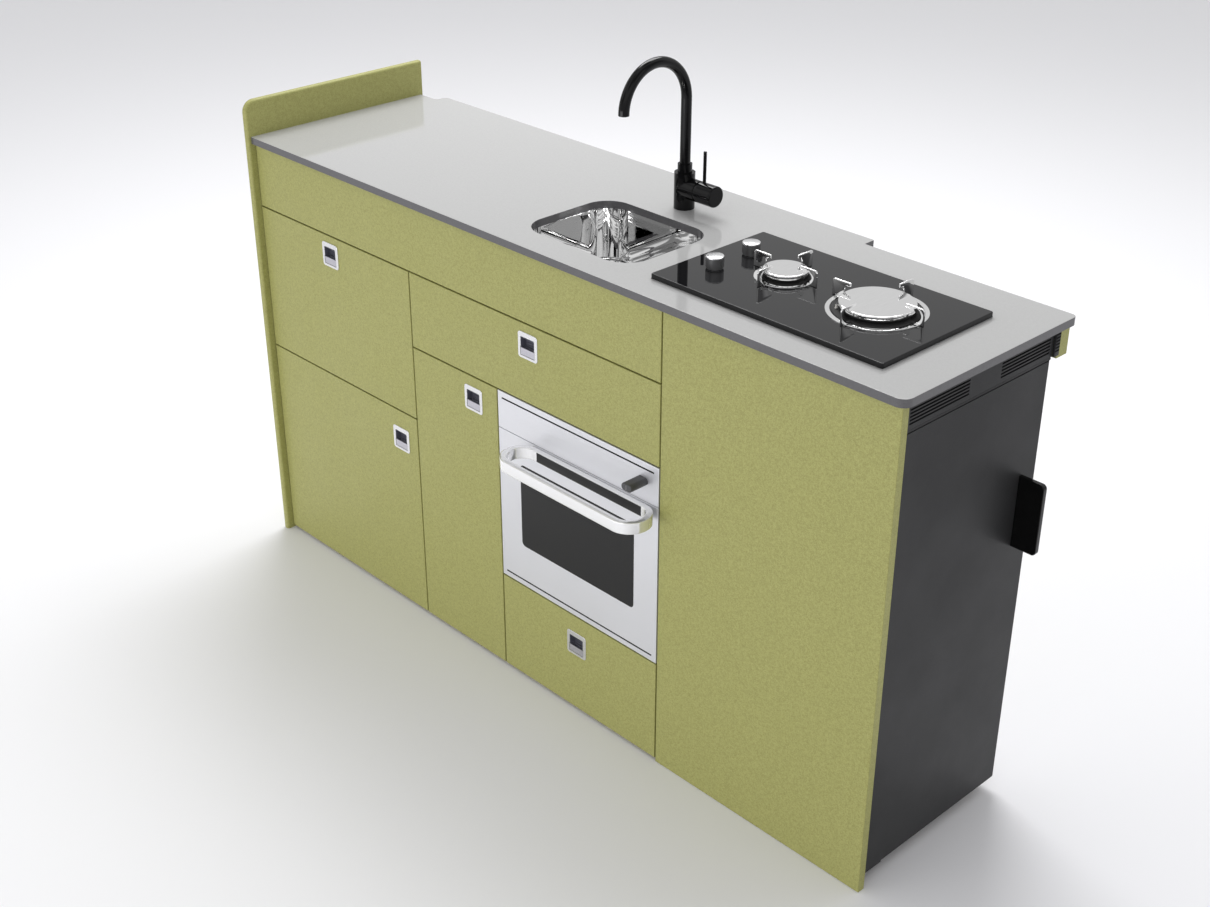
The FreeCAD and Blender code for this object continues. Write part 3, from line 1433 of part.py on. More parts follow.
def drawer_boxes():
    """Boxes of five boards behind the fronts, with the moving half of each runner on both sides."""
    for name, (bay, z) in DRAWERS.items():
        x = grown(bay[0], bay[1], "-drawer_side")
        y = ("door_thick", "door_thick + drawer_box_long")
        inside_x = grown(x[0], x[1], "-drawer_wall")
        inside_y = grown(y[0], y[1], "-drawer_wall")
        boards = [
            box(name + "_side_left", (x[0], inside_x[0]), y, z),
            box(name + "_side_right", (inside_x[1], x[1]), y, z),
            box(name + "_end_front", inside_x, (y[0], inside_y[0]), z),
            box(name + "_end_back", inside_x, (inside_y[1], y[1]), z),
            box(name + "_floor", inside_x, inside_y, (z[0], f"{z[0]} + drawer_floor")),
        ]
        middle = f"{z[0]} + slider_up"
        slider_z = grown(middle, middle, "slider_high / 2")
        slider_y = ("board + clearance", "board + runner_long")
        left = box(name + "_slider_left", (f"{bay[0]} + runner_web + clearance", x[0]), slider_y, slider_z)
        right = box(name + "_slider_right", (x[1], f"{bay[1]} - runner_web - clearance"), slider_y, slider_z)
        node(group(name + "_box_all", boards + [left, right]), name + "_box")


def drawer_runners():
    """The cabinet half of each runner: a shallow channel screwed to the bay's wall."""
    rails = []
    for name, (bay, z) in DRAWERS.items():
        middle = f"{z[0]} + slider_up"
        y = ("board", "board + runner_long")
        outer_z = grown(middle, middle, "runner_high / 2")
        inner_z = grown(middle, middle, "slider_high / 2 + clearance")
        left = box(name + "_channel_left", (bay[0], f"{bay[0]} + runner_deep"), y, outer_z)
        left_gap = box(name + "_gap_left", (f"{bay[0]} + runner_web", f"{bay[0]} + runner_deep + overrun"),
                       grown(y[0], y[1], "overrun"), inner_z)
        rails.append(cut(name + "_rail_left", left, [left_gap]))
        right = box(name + "_channel_right", (f"{bay[1]} - runner_deep", bay[1]), y, outer_z)
        right_gap = box(name + "_gap_right", (f"{bay[1]} - runner_deep - overrun", f"{bay[1]} - runner_web"),
                        grown(y[0], y[1], "overrun"), inner_z)
        rails.append(cut(name + "_rail_right", right, [right_gap]))
    node(group("rails_all", rails), "drawer_runners")


def hinge_arms():
    """The cabinet half of the concealed hinges of the two doors, two to a door."""
    arms = []
    walls = {"lower_left_door": "0", "narrow_door": "bay_one + half_board"}
    for name, wall in walls.items():
        low, top = FRONTS[name][1]
        for index, up in enumerate((f"{low} + hinge_inset", f"{top} - hinge_inset")):
            y = ("board + hinge_arm_gap", "board + hinge_arm_gap + hinge_plate_long")
            flat = box(f"{name}_plate_{index}", (wall, f"{wall} + hinge_plate_thick"), y,
                       grown(up, up, "hinge_plate_high / 2"))
            arm = box(f"{name}_arm_{index}", (wall, f"{wall} + hinge_plate_thick + hinge_arm_wide"), y,
                      grown(up, up, "hinge_arm_high / 2"))
            arms.append(join(f"{name}_hinge_{index}", [flat, arm]))
    node(group("hinge_arms_all", arms), "door_hinge_arms")


def build():
    fill_sheet()
    end_panel()
    base_panel()
    fixed_fronts()
    dividers()
    shelves()
    back_frame()
    worktop()
    sink_bowl()
    sink_waste()
    sink_strainer()
    tap_body()
    tap_handle()
    tap_spout()
    hob_glass()
    hob_tray()
    gas_valves()
    hob_knobs()
    burner_bases()
    burner_caps()
    pan_prongs()
    oven_case()
    oven_front()
    oven_hinges()
    oven_handle()
    oven_knob()
    wire_shelves()
    fridge_cabinet()
    fridge_compressor()
    fridge_hinges()
    fridge_door()
    fridge_handle()
    vent_panel()
    moving_fronts()
    latch_parts()
    drawer_boxes()
    drawer_runners()
    hinge_arms()
    doc.recompute()


def check():
    """Stop if anything failed to build."""
    for item in doc.Objects:
        faults = [word for word in item.State if word in ("Invalid", "Error")]
        if faults:
            raise RuntimeError(f"{item.Name} ({item.Label}) is {faults}: {item.getStatusString()}")
    for item in nodes:
        if item.Shape.isNull() or not item.Shape.isValid():
            raise RuntimeError(f"{item.Label} has no valid shape")
        if not item.Shape.Solids:
            raise RuntimeError(f"{item.Label} has no solid")


def write():
    os.makedirs("parts", exist_ok=True)
    for item in nodes:
        item.Shape.exportStep(f"parts/{item.Label}.step")
        solids = len(item.Shape.Solids)
        print(f"{item.Label}: {solids} solids, {item.Shape.Volume / 1000:.1f} cm3")
    print(len(nodes), "nodes")


build()
check()
write()
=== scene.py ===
# %% [markdown]
# # A campervan kitchen pod
#
# This lesson dresses a finished CAD model of a small kitchen: a cabinet with green fronts, a sink,
# a tap, a gas hob, an oven and a fridge that opens at the end. The CAD model gives every size and every
# moving piece. Here we give each surface the finish of the real thing, and add the small pieces that a
# CAD model leaves out, such as seals, screws, gas ports and the flutes of a knob.

# %% Load the CAD model
import math

import bmesh
import bpy
from mathutils import Matrix, Vector


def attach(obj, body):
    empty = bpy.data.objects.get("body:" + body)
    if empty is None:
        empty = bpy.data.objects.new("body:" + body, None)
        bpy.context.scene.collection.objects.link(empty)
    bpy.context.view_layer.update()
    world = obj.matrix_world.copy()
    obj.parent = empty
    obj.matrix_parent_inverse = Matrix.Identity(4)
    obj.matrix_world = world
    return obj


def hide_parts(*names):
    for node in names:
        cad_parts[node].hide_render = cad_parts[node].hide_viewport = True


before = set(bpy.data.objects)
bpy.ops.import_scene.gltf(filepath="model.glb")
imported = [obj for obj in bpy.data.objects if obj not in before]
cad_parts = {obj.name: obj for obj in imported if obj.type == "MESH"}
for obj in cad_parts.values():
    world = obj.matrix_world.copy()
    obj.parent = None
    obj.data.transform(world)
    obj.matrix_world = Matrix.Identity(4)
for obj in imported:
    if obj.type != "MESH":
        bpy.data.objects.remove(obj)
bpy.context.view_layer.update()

# %% [markdown]
# ## Measures
#
# The cabinet maker measures in millimetres from the lower left front corner of the cabinet. The model's
# own origin lies on the floor under the middle of the cabinet. One helper turns the maker's numbers into
# Blender's metres, so every size below reads like a size on a drawing.

# %% A maker's point in Blender's metres
MM = 0.001
CORNER = Vector((-0.8035, -0.207, 0.0))


def spot(x, y, z):
    return Vector((x, y, z)) * MM + CORNER


print("cabinet front is at y =", round(spot(0, 0, 0).y, 4))

# %% [markdown]
# ## Small helpers for shaders
#
# A finish is a Principled shader with a few texture nodes in front of it. Constants such as the index of
# refraction are set on the shader's own sockets. Everything that changes over the surface comes in
# through colour, roughness or a bump. These helpers keep the node code short.

# %% Node helpers


def add(tree, kind, **values):
    """Add a node and set its input sockets by name, with _ for a blank."""
    node = tree.nodes.new(kind)
    for name, value in values.items():
        node.inputs[name.replace("_", " ")].default_value = value
    return node


def feed(tree, shader, **values):
    """Link sockets to a shader's inputs by name, with _ for a blank."""
    for name, value in values.items():
        tree.links.new(value, shader.inputs[name.replace("_", " ")])


def mixed(tree, factor, first, second):
    """A colour mixed from two colours by a factor socket."""
    node = tree.nodes.new("ShaderNodeMix")
    node.data_type = "RGBA"
    tree.links.new(factor, node.inputs[0])
    for index, colour in ((6, first), (7, second)):
        if isinstance(colour, tuple):
            node.inputs[index].default_value = (*colour, 1.0)
        else:
            tree.links.new(colour, node.inputs[index])
    return node.outputs[2]


def ranged(tree, value, low, high, to_low, to_high):
    """A value spread from one range to another, and held inside it."""
    node = add(tree, "ShaderNodeMapRange", From_Min=low, From_Max=high, To_Min=to_low, To_Max=to_high)
    tree.links.new(value, node.inputs["Value"])
    return node.outputs["Result"]


def counted(tree, operation, first, second=None, clamp=False):
    """A maths node on sockets or plain numbers."""
    node = tree.nodes.new("ShaderNodeMath")
    node.operation = operation
    node.use_clamp = clamp
    for index, value in enumerate((first, second)):
        if value is None:
            continue
        if isinstance(value, (int, float)):
            node.inputs[index].default_value = value
        else:
            tree.links.new(value, node.inputs[index])
    return node.outputs[0]


def place_on(tree):
    """The object's own coordinates, in metres."""
    return tree.nodes.new("ShaderNodeTexCoord").outputs["Object"]


def new_finish(name, colour, roughness, metallic=0.0, **constants):
    """A material whose Principled shader holds the plain values."""
    material = bpy.data.materials.new(name)
    material.use_nodes = True
    material.diffuse_color = (*colour, 1.0)
    shader = material.node_tree.nodes["Principled BSDF"]
    shader.inputs["Base Color"].default_value = (*colour, 1.0)
    shader.inputs["Roughness"].default_value = roughness
    shader.inputs["Metallic"].default_value = metallic
    for socket, value in constants.items():
        shader.inputs[socket.replace("_", " ")].default_value = value
    return material, material.node_tree, shader


def bumped(tree, shader, height, strength, distance=0.0002):
    """Feed a height to the shader's normal through a bump whose depth is in metres."""
    node = add(tree, "ShaderNodeBump", Strength=strength, Distance=distance)
    tree.links.new(height, node.inputs["Height"])
    tree.links.new(node.outputs["Normal"], shader.inputs["Normal"])


print("node helpers are ready")

# %% [markdown]
# ## Effects that many finishes share
#
# Three effects turn up again and again on the real kitchen. Pressed laminate and moulded plastic have a
# fine speckle. Rolled steel has a grain that runs one way. Everything that is handled has cloudy smudges
# that change how glossy it is. Each effect is a node group with its own inputs, built once.

# %% Build the shared node groups


def new_group(name, inputs, outputs):
    group = bpy.data.node_groups.new(name, "ShaderNodeTree")
    for label, kind, value in inputs:
        socket = group.interface.new_socket(name=label, in_out="INPUT", socket_type=kind)
        if value is not None:
            socket.default_value = value
    for label in outputs:
        group.interface.new_socket(name=label, in_out="OUTPUT", socket_type="NodeSocketFloat")
    start = group.nodes.new("NodeGroupInput")
    end = group.nodes.new("NodeGroupOutput")
    return group, start, end


def noise_in(group, vector, scale, detail):
    node = add(group, "ShaderNodeTexNoise", Detail=detail, Roughness=0.6)
    group.links.new(vector, node.inputs["Vector"])
    if isinstance(scale, (int, float)):
        node.inputs["Scale"].default_value = scale
    else:
        group.links.new(scale, node.inputs["Scale"])
    return node.outputs["Fac"]


# The speckle is two thirds fine noise and one third noise that is three times as wide.
FINE_SHARE, WIDE_SHARE, WIDE_SCALE = 0.65, 0.35, 0.31
CONTRAST_GAIN = 8.0
speckle_group, start, end = new_group(
    "speckle", [("Vector", "NodeSocketVector", None), ("Scale", "NodeSocketFloat", 900.0),
                ("Contrast", "NodeSocketFloat", 0.5)], ["Mask"])
grain_fine = noise_in(speckle_group, start.outputs["Vector"], start.outputs["Scale"], 2.0)
wide_scale = counted(speckle_group, "MULTIPLY", start.outputs["Scale"], WIDE_SCALE)
grain_wide = noise_in(speckle_group, start.outputs["Vector"], wide_scale, 3.0)
both = counted(speckle_group, "ADD", counted(speckle_group, "MULTIPLY", grain_fine, FINE_SHARE),
               counted(speckle_group, "MULTIPLY", grain_wide, WIDE_SHARE))
centred = counted(speckle_group, "SUBTRACT", both, 0.5)
gain = counted(speckle_group, "MULTIPLY", start.outputs["Contrast"], CONTRAST_GAIN)
spread = counted(speckle_group, "MULTIPLY", centred, gain)
speckle_group.links.new(counted(speckle_group, "ADD", spread, 0.5, clamp=True), end.inputs["Mask"])

grain_group, start, end = new_group(
    "rolled_grain", [("Vector", "NodeSocketVector", None),
                     ("Along", "NodeSocketVector", (8.0, 600.0, 600.0)),
                     ("Scale", "NodeSocketFloat", 1.0)], ["Mask"])
stretch = grain_group.nodes.new("ShaderNodeVectorMath")
stretch.operation = "MULTIPLY"
grain_group.links.new(start.outputs["Vector"], stretch.inputs[0])
grain_group.links.new(start.outputs["Along"], stretch.inputs[1])
streaks = noise_in(grain_group, stretch.outputs["Vector"], start.outputs["Scale"], 3.0)
grain_group.links.new(ranged(grain_group, streaks, 0.3, 0.7, 0.0, 1.0), end.inputs["Mask"])

smudge_group, start, end = new_group(
    "smudges", [("Vector", "NodeSocketVector", None), ("Scale", "NodeSocketFloat", 9.0),
                ("Low", "NodeSocketFloat", 0.0), ("High", "NodeSocketFloat", 1.0)], ["Value"])
clouds = noise_in(smudge_group, start.outputs["Vector"], start.outputs["Scale"], 5.0)
lift = ranged(smudge_group, clouds, 0.32, 0.68, 0.0, 1.0)
width = counted(smudge_group, "SUBTRACT", start.outputs["High"], start.outputs["Low"])
lifted = counted(smudge_group, "MULTIPLY", lift, width)
level = counted(smudge_group, "ADD", lifted, start.outputs["Low"])
smudge_group.links.new(level, end.inputs["Value"])


def effect(tree, group, vector, **values):
    """Place a shared group in a material with its own values."""
    node = tree.nodes.new("ShaderNodeGroup")
    node.node_tree = group
    tree.links.new(vector, node.inputs["Vector"])
    for name, value in values.items():
        node.inputs[name].default_value = value
    return node.outputs[0]


def smudged(tree, vector, scale, low, high):
    """A roughness that drifts between two values in soft clouds."""
    return effect(tree, smudge_group, vector, Scale=scale, Low=low, High=high)


print("shared effects:", [group.name for group in bpy.data.node_groups])

# %% [markdown]
# ## Green laminate
#
# The doors and drawers are plywood faced with an olive green laminate. Close up the colour is a fine mix
# of a lighter and a darker green, with very faint upright streaks from the paper under it. Boards are
# lightly textured, so the gloss breaks up. Edges are banded in the same laminate.

# %% Green laminate
green, tree, shader = new_finish("green_laminate", (0.36, 0.355, 0.13), 0.45, Specular_IOR_Level=0.3)
vector = place_on(tree)
speckle = effect(tree, speckle_group, vector, Scale=620.0, Contrast=0.55)
streak = effect(tree, grain_group, vector, Along=(160.0, 160.0, 3.0))
faint = ranged(tree, streak, 0.0, 1.0, 0.0, 0.22)
speckled = mixed(tree, speckle, (0.290, 0.285, 0.094), (0.420, 0.415, 0.150))
streaked = mixed(tree, faint, speckled, (0.335, 0.328, 0.108))
feed(tree, shader, Base_Color=streaked, Roughness=smudged(tree, vector, 5.0, 0.40, 0.52))
bumped(tree, shader, speckle, 0.22, 0.0004)
print("green laminate:", len(tree.nodes), "nodes")

# %% [markdown]
# ## Birch plywood
#
# Drawer boxes, shelves and the carcass inside are bare birch plywood with a clear varnish. The veneer has
# a long, gentle grain, and short dark fibres run along it. Both are the same noise, stretched by different
# amounts along the board.

# %% Birch plywood
ply, tree, shader = new_finish("birch_ply", (0.60, 0.45, 0.28), 0.42, Specular_IOR_Level=0.4)
vector = place_on(tree)
long_grain = effect(tree, grain_group, vector, Along=(3.0, 90.0, 90.0))
fibres = effect(tree, grain_group, vector, Along=(18.0, 900.0, 900.0))
faint = ranged(tree, fibres, 0.0, 1.0, 0.0, 0.3)
veneer = mixed(tree, long_grain, (0.66, 0.50, 0.32), (0.50, 0.345, 0.19))
veneer = mixed(tree, faint, veneer, (0.40, 0.26, 0.13))
feed(tree, shader, Base_Color=veneer, Roughness=smudged(tree, vector, 7.0, 0.34, 0.5))
bumped(tree, shader, fibres, 0.15, 0.0003)
print("birch ply:", len(tree.nodes), "nodes")

# %% [markdown]
# ## Pale worktop
#
# The worktop is a thin compact board, pale grey and glossy on top, with the dark core showing at its
# edges. One material does both: the surface's own normal tells top from edge, which stays the same from
# any viewpoint. The top has a barely visible fleck, and mirrors what stands near it.

# %% Pale worktop
EDGE_NORMAL, TOP_NORMAL = 0.55, 0.8
worktop, tree, shader = new_finish("pale_worktop", (0.60, 0.60, 0.60), 0.2, Specular_IOR_Level=0.5)
vector = place_on(tree)
fleck = effect(tree, speckle_group, vector, Scale=800.0, Contrast=0.35)
top_colour = mixed(tree, fleck, (0.400, 0.400, 0.400), (0.460, 0.460, 0.459))
facing = tree.nodes.new("ShaderNodeNewGeometry")
split = tree.nodes.new("ShaderNodeSeparateXYZ")
tree.links.new(facing.outputs["Normal"], split.inputs["Vector"])
upward = ranged(tree, split.outputs["Z"], EDGE_NORMAL, TOP_NORMAL, 0.0, 1.0)
core = mixed(tree, fleck, (0.094, 0.092, 0.098), (0.124, 0.122, 0.128))
feed(tree, shader, Base_Color=mixed(tree, upward, core, top_colour),
     Roughness=smudged(tree, vector, 4.0, 0.04, 0.09))
bumped(tree, shader, fleck, 0.05)
print("worktop:", len(tree.nodes), "nodes")

# %% [markdown]
# ## Metals
#
# The sink bowl, the burner caps and the pan prongs are polished steel, which mirrors the room and shows
# only fine polishing marks. Hinges and runners are zinc plated, with a cloudy, slightly blue sheen. The
# fridge shelves are bright wire. The latches are satin metal. A metal is a metallic shader whose
# roughness does most of the work, so each one gets its own grain and clouds.

# %% Metals


def metal(name, colour, gloss, along, relief, clouds=8.0, darker=0.85):
    """A metal with a rolled grain in its colour and bump, and clouds in its roughness."""
    low, high = gloss
    material, tree, shader = new_finish(name, colour, (low + high) / 2, 1.0)
    vector = place_on(tree)
    grain = effect(tree, grain_group, vector, Along=along)
    dark = tuple(part * darker for part in colour)
    feed(tree, shader, Base_Color=mixed(tree, grain, dark, colour),
         Roughness=smudged(tree, vector, clouds, low, high))
    bumped(tree, shader, grain, relief)
    return material


polished = metal("polished_steel", (0.83, 0.83, 0.83), gloss=(0.0, 0.03), along=(500.0, 40.0, 500.0),
                 relief=0.008, darker=0.95)
brushed = metal("brushed_steel", (0.58, 0.58, 0.59), gloss=(0.22, 0.34), along=(900.0, 900.0, 30.0),
                relief=0.12)
zinc = metal("zinc_plate", (0.56, 0.58, 0.60), gloss=(0.28, 0.5), along=(60.0, 60.0, 60.0), relief=0.08,
             clouds=40.0)
rack_wire = metal("rack_wire", (0.70, 0.70, 0.70), gloss=(0.15, 0.3), along=(400.0, 60.0, 400.0),
                  relief=0.06)
latch_metal = metal("latch_satin", (0.86, 0.86, 0.87), gloss=(0.2, 0.3), along=(700.0, 700.0, 700.0),
                    relief=0.05)
latch_grey = metal("latch_paddle_grey", (0.58, 0.57, 0.62), gloss=(0.3, 0.42),
                   along=(700.0, 700.0, 700.0), relief=0.05)
brass = metal("valve_brass", (0.62, 0.46, 0.20), gloss=(0.3, 0.45), along=(80.0, 80.0, 80.0), relief=0.08)
knob_silver = metal("knob_silver", (0.66, 0.66, 0.67), gloss=(0.22, 0.28), along=(700.0, 30.0, 700.0),
                    relief=0.08)
knob_dark = metal("knob_dark", (0.30, 0.30, 0.305), gloss=(0.3, 0.42), along=(600.0, 600.0, 20.0),
                  relief=0.08)
casing = metal("galvanised_sheet", (0.50, 0.51, 0.52), gloss=(0.35, 0.55), along=(30.0, 30.0, 30.0),
               relief=0.1, clouds=25.0, darker=0.7)
print("finishes so far:", len(bpy.data.materials))

# %% [markdown]
# ## Black tap, white enamel, glass and plastics
#
# The tap is metal under a smooth black coat. The oven front is a white coat on metal with a soft sheen, so
# it is partly metallic here, and its handle is the same white with a high gloss. The hob is thick black
# glass, nearly a mirror at a low angle. The fridge front is charcoal with a fine texture, and its fin
# handle is glossy black plastic. These all share one recipe: a speckle for the texture, clouds for the
# wear in the gloss, and plain constants on the shader.

# %% Coated, glazed and moulded finishes
CLOUD_SCALE = 7.0
DARKER_SPECK = 0.86


def moulded(name, colour, gloss, specks, relief, second=None, **constants):
    """A coat with a fine speckle in colour and bump, and clouds in its roughness."""
    low, high = gloss
    scale, contrast = specks
    material, tree, shader = new_finish(name, colour, (low + high) / 2, 0.0, **constants)
    vector = place_on(tree)
    speckle = effect(tree, speckle_group, vector, Scale=scale, Contrast=contrast)
    other = second or tuple(part * DARKER_SPECK for part in colour)
    feed(tree, shader, Base_Color=mixed(tree, speckle, other, colour),
         Roughness=smudged(tree, vector, CLOUD_SCALE, low, high))
    bumped(tree, shader, speckle, relief)
    return material


tap_black = moulded("tap_black", (0.003, 0.003, 0.0035), gloss=(0.07, 0.13), specks=(1500.0, 0.3),
                    relief=0.02, Specular_IOR_Level=0.22)
enamel = moulded("white_enamel", (0.755, 0.76, 0.795), gloss=(0.38, 0.44), specks=(300.0, 0.2),
                 relief=0.01, second=(0.74, 0.745, 0.78), Metallic=0.66)
handle_white = moulded("handle_white", (0.95, 0.95, 0.96), gloss=(0.05, 0.09), specks=(900.0, 0.2),
                       relief=0.0, second=(0.93, 0.93, 0.94), Metallic=0.72)
hob_black = moulded("hob_glass", (0.008, 0.008, 0.009), gloss=(0.0, 0.012), specks=(60.0, 0.1),
                    relief=0.0, IOR=1.52, Specular_IOR_Level=0.32)
window_black = moulded("oven_glass", (0.012, 0.012, 0.013), gloss=(0.05, 0.1), specks=(60.0, 0.1),
                       relief=0.0, IOR=1.52, Specular_IOR_Level=0.3)
charcoal = moulded("charcoal_front", (0.030, 0.030, 0.031), gloss=(0.38, 0.5), specks=(1400.0, 0.5),
                   relief=0.12, second=(0.022, 0.022, 0.023), Specular_IOR_Level=0.2)
fin_black = moulded("gloss_black", (0.003, 0.003, 0.003), gloss=(0.03, 0.07), specks=(1500.0, 0.2),
                    relief=0.02, Specular_IOR_Level=0.3)
grey_plastic = moulded("grey_plastic", (0.060, 0.060, 0.064), gloss=(0.3, 0.42), specks=(1800.0, 0.5),
                       relief=0.1)
dark_plastic = moulded("dark_plastic", (0.080, 0.080, 0.105), gloss=(0.35, 0.45), specks=(1800.0, 0.5),
                       relief=0.1)
liner_white = moulded("fridge_liner", (0.70, 0.71, 0.72), gloss=(0.3, 0.42), specks=(500.0, 0.3),
                      relief=0.05, second=(0.66, 0.67, 0.68))
seal_black = moulded("black_seal", (0.016, 0.016, 0.017), gloss=(0.55, 0.7), specks=(1200.0, 0.7),
                     relief=0.2)
# Flat black for the oven's top inlay, and painted shade in the door gap and behind and on the vent slots.
black_inlay_and_painted_shade = moulded("black_inlay_and_shade", (0.004, 0.004, 0.004), gloss=(0.7, 0.85), specks=(1500.0, 0.8),
                       relief=0.2, Specular_IOR_Level=0.1)
seal_grey = moulded("grey_seal", (0.34, 0.34, 0.35), gloss=(0.5, 0.62), specks=(1200.0, 0.6), relief=0.15)
cast_dark = moulded("cast_alloy", (0.014, 0.014, 0.014), gloss=(0.5, 0.68), specks=(700.0, 0.9),
                    relief=0.35, Specular_IOR_Level=0.2)
ceramic = moulded("spark_ceramic", (0.80, 0.78, 0.74), gloss=(0.2, 0.3), specks=(900.0, 0.3), relief=0.04)
pump_black = moulded("pump_paint", (0.014, 0.014, 0.015), gloss=(0.3, 0.5), specks=(300.0, 0.6), relief=0.2)
glass_clear = moulded("inner_pane", (0.02, 0.022, 0.022), gloss=(0.03, 0.08), specks=(60.0, 0.1),
                      relief=0.0, IOR=1.5)
print("finishes in all:", len(bpy.data.materials))

# %% [markdown]
# ## Speckled enamel in the oven
#
# The oven case is one node of plain sheet, but its cavity is lined with dark enamel that has pale specks.
# A mask tells the two apart: it is one where the object's own coordinates lie inside the cavity's box.
# The lining's colour is mixed over the sheet's colour by that mask.

# %% Line the cavity
CAVITY_LOW = spot(761.5, 28.3, 244.5)
CAVITY_HIGH = spot(1105.5, 340.5, 510.5)


def inside_box(tree, low, high):
    """One inside a box of the object's own space, and nought outside it."""
    offset = tree.nodes.new("ShaderNodeVectorMath")
    offset.operation = "SUBTRACT"
    offset.inputs[1].default_value = (low + high) / 2
    tree.links.new(place_on(tree), offset.inputs[0])
    parts = tree.nodes.new("ShaderNodeSeparateXYZ")
    tree.links.new(offset.outputs["Vector"], parts.inputs["Vector"])
    mask = 1.0
    for axis, half in zip("XYZ", (high - low) / 2):
        distance = counted(tree, "ABSOLUTE", parts.outputs[axis])
        mask = counted(tree, "MULTIPLY", counted(tree, "LESS_THAN", distance, half), mask)
    return mask


tree = casing.node_tree
shader = tree.nodes["Principled BSDF"]
sheet = shader.inputs["Base Color"].links[0].from_socket
speckle = effect(tree, speckle_group, place_on(tree), Scale=420.0, Contrast=0.8)
lining = mixed(tree, speckle, (0.022, 0.023, 0.026), (0.085, 0.088, 0.095))
feed(tree, shader, Base_Color=mixed(tree, inside_box(tree, CAVITY_LOW, CAVITY_HIGH), sheet, lining))
print("cavity lined")

# %% [markdown]
# ## Dress the CAD nodes
#
# Most CAD nodes already have the right shape. They keep it, and only get their finish. The table below
# reads like a parts list.

# %% Give each CAD node its finish
FINISHES = {
    green: ["end_panel", "tall_front_panel", "top_fascia", "back_frame", "upper_left_drawer_front",
            "upper_middle_drawer_front", "bottom_drawer_front", "lower_left_door", "narrow_door"],
    ply: ["base_panel", "dividers", "shelves_and_rails", "upper_left_drawer_box", "upper_middle_drawer_box",
          "bottom_drawer_box"],
    worktop: ["worktop"],
    polished: ["sink_bowl", "sink_waste", "sink_strainer", "burner_cap_small", "burner_cap_large",
               "pan_prongs_small", "pan_prongs_large"],
    handle_white: ["oven_handle"],
    zinc: ["hob_tray", "oven_hinge_arms", "drawer_runners", "door_hinge_arms"],
    rack_wire: ["wire_shelves"],
    brass: ["tap_cartridge_stem", "gas_valves"],
    tap_black: ["tap_body", "tap_handle_cap", "tap_lever", "tap_spout"],
    enamel: ["oven_fascia", "oven_door"],
    hob_black: ["hob_glass"],
    window_black: ["oven_window"],
    casing: ["oven_case"],
    cast_dark: ["burner_bases"],
    grey_plastic: ["oven_knob"],
    knob_dark: ["hob_knob_small", "hob_knob_large"],
    charcoal: ["fridge_door", "fridge_hinges", "vent_panel"],
    fin_black: ["fridge_handle"],
    liner_white: ["fridge_cabinet"],
    pump_black: ["fridge_compressor"],
}
FRONTS = ("upper_left_drawer", "upper_middle_drawer", "bottom_drawer", "lower_left_door", "narrow_door")
FINISHES[latch_metal] = [front + "_latch" for front in FRONTS]
FINISHES[latch_grey] = [front + "_paddle" for front in FRONTS]
dressed = set()
for finish, names in FINISHES.items():
    for name in names:
        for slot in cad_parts[name].material_slots:
            slot.material = finish
        dressed.add(name)
print("dressed", len(dressed), "of", len(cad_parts), "nodes; left:", set(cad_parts) - dressed)

# %% [markdown]
# ## Tools for making small pieces
#
# Every new piece is drawn in the maker's millimetres with a bmesh, and moved to its place in metres at the
# end. A few shapes turn up often: a block, a round bar, a half section spun about an axis, and a tray that
# is pressed into a face. A fresh copy of a shape is easiest to move while its own points are still known,
# so most helpers hand them back.

# %% Shapes in the maker's millimetres
AXES = {
    "x": Matrix.Rotation(math.radians(90.0), 4, "Y"),
    "y": Matrix.Rotation(math.radians(-90.0), 4, "X"),
    "z": Matrix.Identity(4),
    "-y": Matrix.Rotation(math.radians(90.0), 4, "X"),
}
CORNER_ANGLE = 0.7
SMOOTH_ANGLE = math.radians(32.0)
SAME_POINT = 0.0005
SAME_WAY = 0.99
UPRIGHT = 0.1


def block(form, low, high):
    """A box between two corners; gives its points."""
    low, high = Vector(low), Vector(high)
    points = bmesh.ops.create_cube(form, size=1.0)["verts"]
    bmesh.ops.scale(form, vec=high - low, verts=points)
    bmesh.ops.translate(form, vec=(low + high) / 2, verts=points)
    return points


def drum(form, place, axis, radius, length, end_radius=None, sides=24):
    """A round bar or cone that starts at a place and runs along an axis."""
    end = radius if end_radius is None else end_radius
    points = bmesh.ops.create_cone(form, cap_ends=True, segments=sides, radius1=radius, radius2=end,
                                   depth=length)["verts"]
    bmesh.ops.translate(form, vec=(0.0, 0.0, length / 2), verts=points)
    bmesh.ops.transform(form, matrix=Matrix.Translation(place) @ AXES[axis], verts=points)
    return points


def spun(form, section, place, axis, steps=64, closed=True):
    """A half section of (out, along) points turned all round an axis."""
    older = set(form.verts)
    points = [form.verts.new((out, 0.0, along)) for out, along in section]
    pairs = list(zip(points, points[1:]))
    if closed:
        pairs.append((points[-1], points[0]))
    lines = [form.edges.new(pair) for pair in pairs]
    bmesh.ops.spin(form, geom=points + lines, cent=(0.0, 0.0, 0.0), axis=(0.0, 0.0, 1.0),
                   dvec=(0.0, 0.0, 0.0), angle=math.tau, steps=steps, use_merge=True, use_duplicate=False)
    made = [point for point in form.verts if point not in older]
    bmesh.ops.remove_doubles(form, verts=made, dist=SAME_POINT)
    made = [point for point in form.verts if point not in older]
    bmesh.ops.transform(form, matrix=Matrix.Translation(place) @ AXES[axis], verts=made)


def faces_of(form, points, direction=None):
    """The faces of some points, or only the ones that look one way."""
    chosen = set(points)
    bmesh.ops.recalc_face_normals(form, faces=form.faces[:])
    found = [face for face in form.faces if all(point in chosen for point in face.verts)]
    if direction is None:
        return found
    return [face for face in found if face.normal.dot(Vector(direction)) > SAME_WAY]


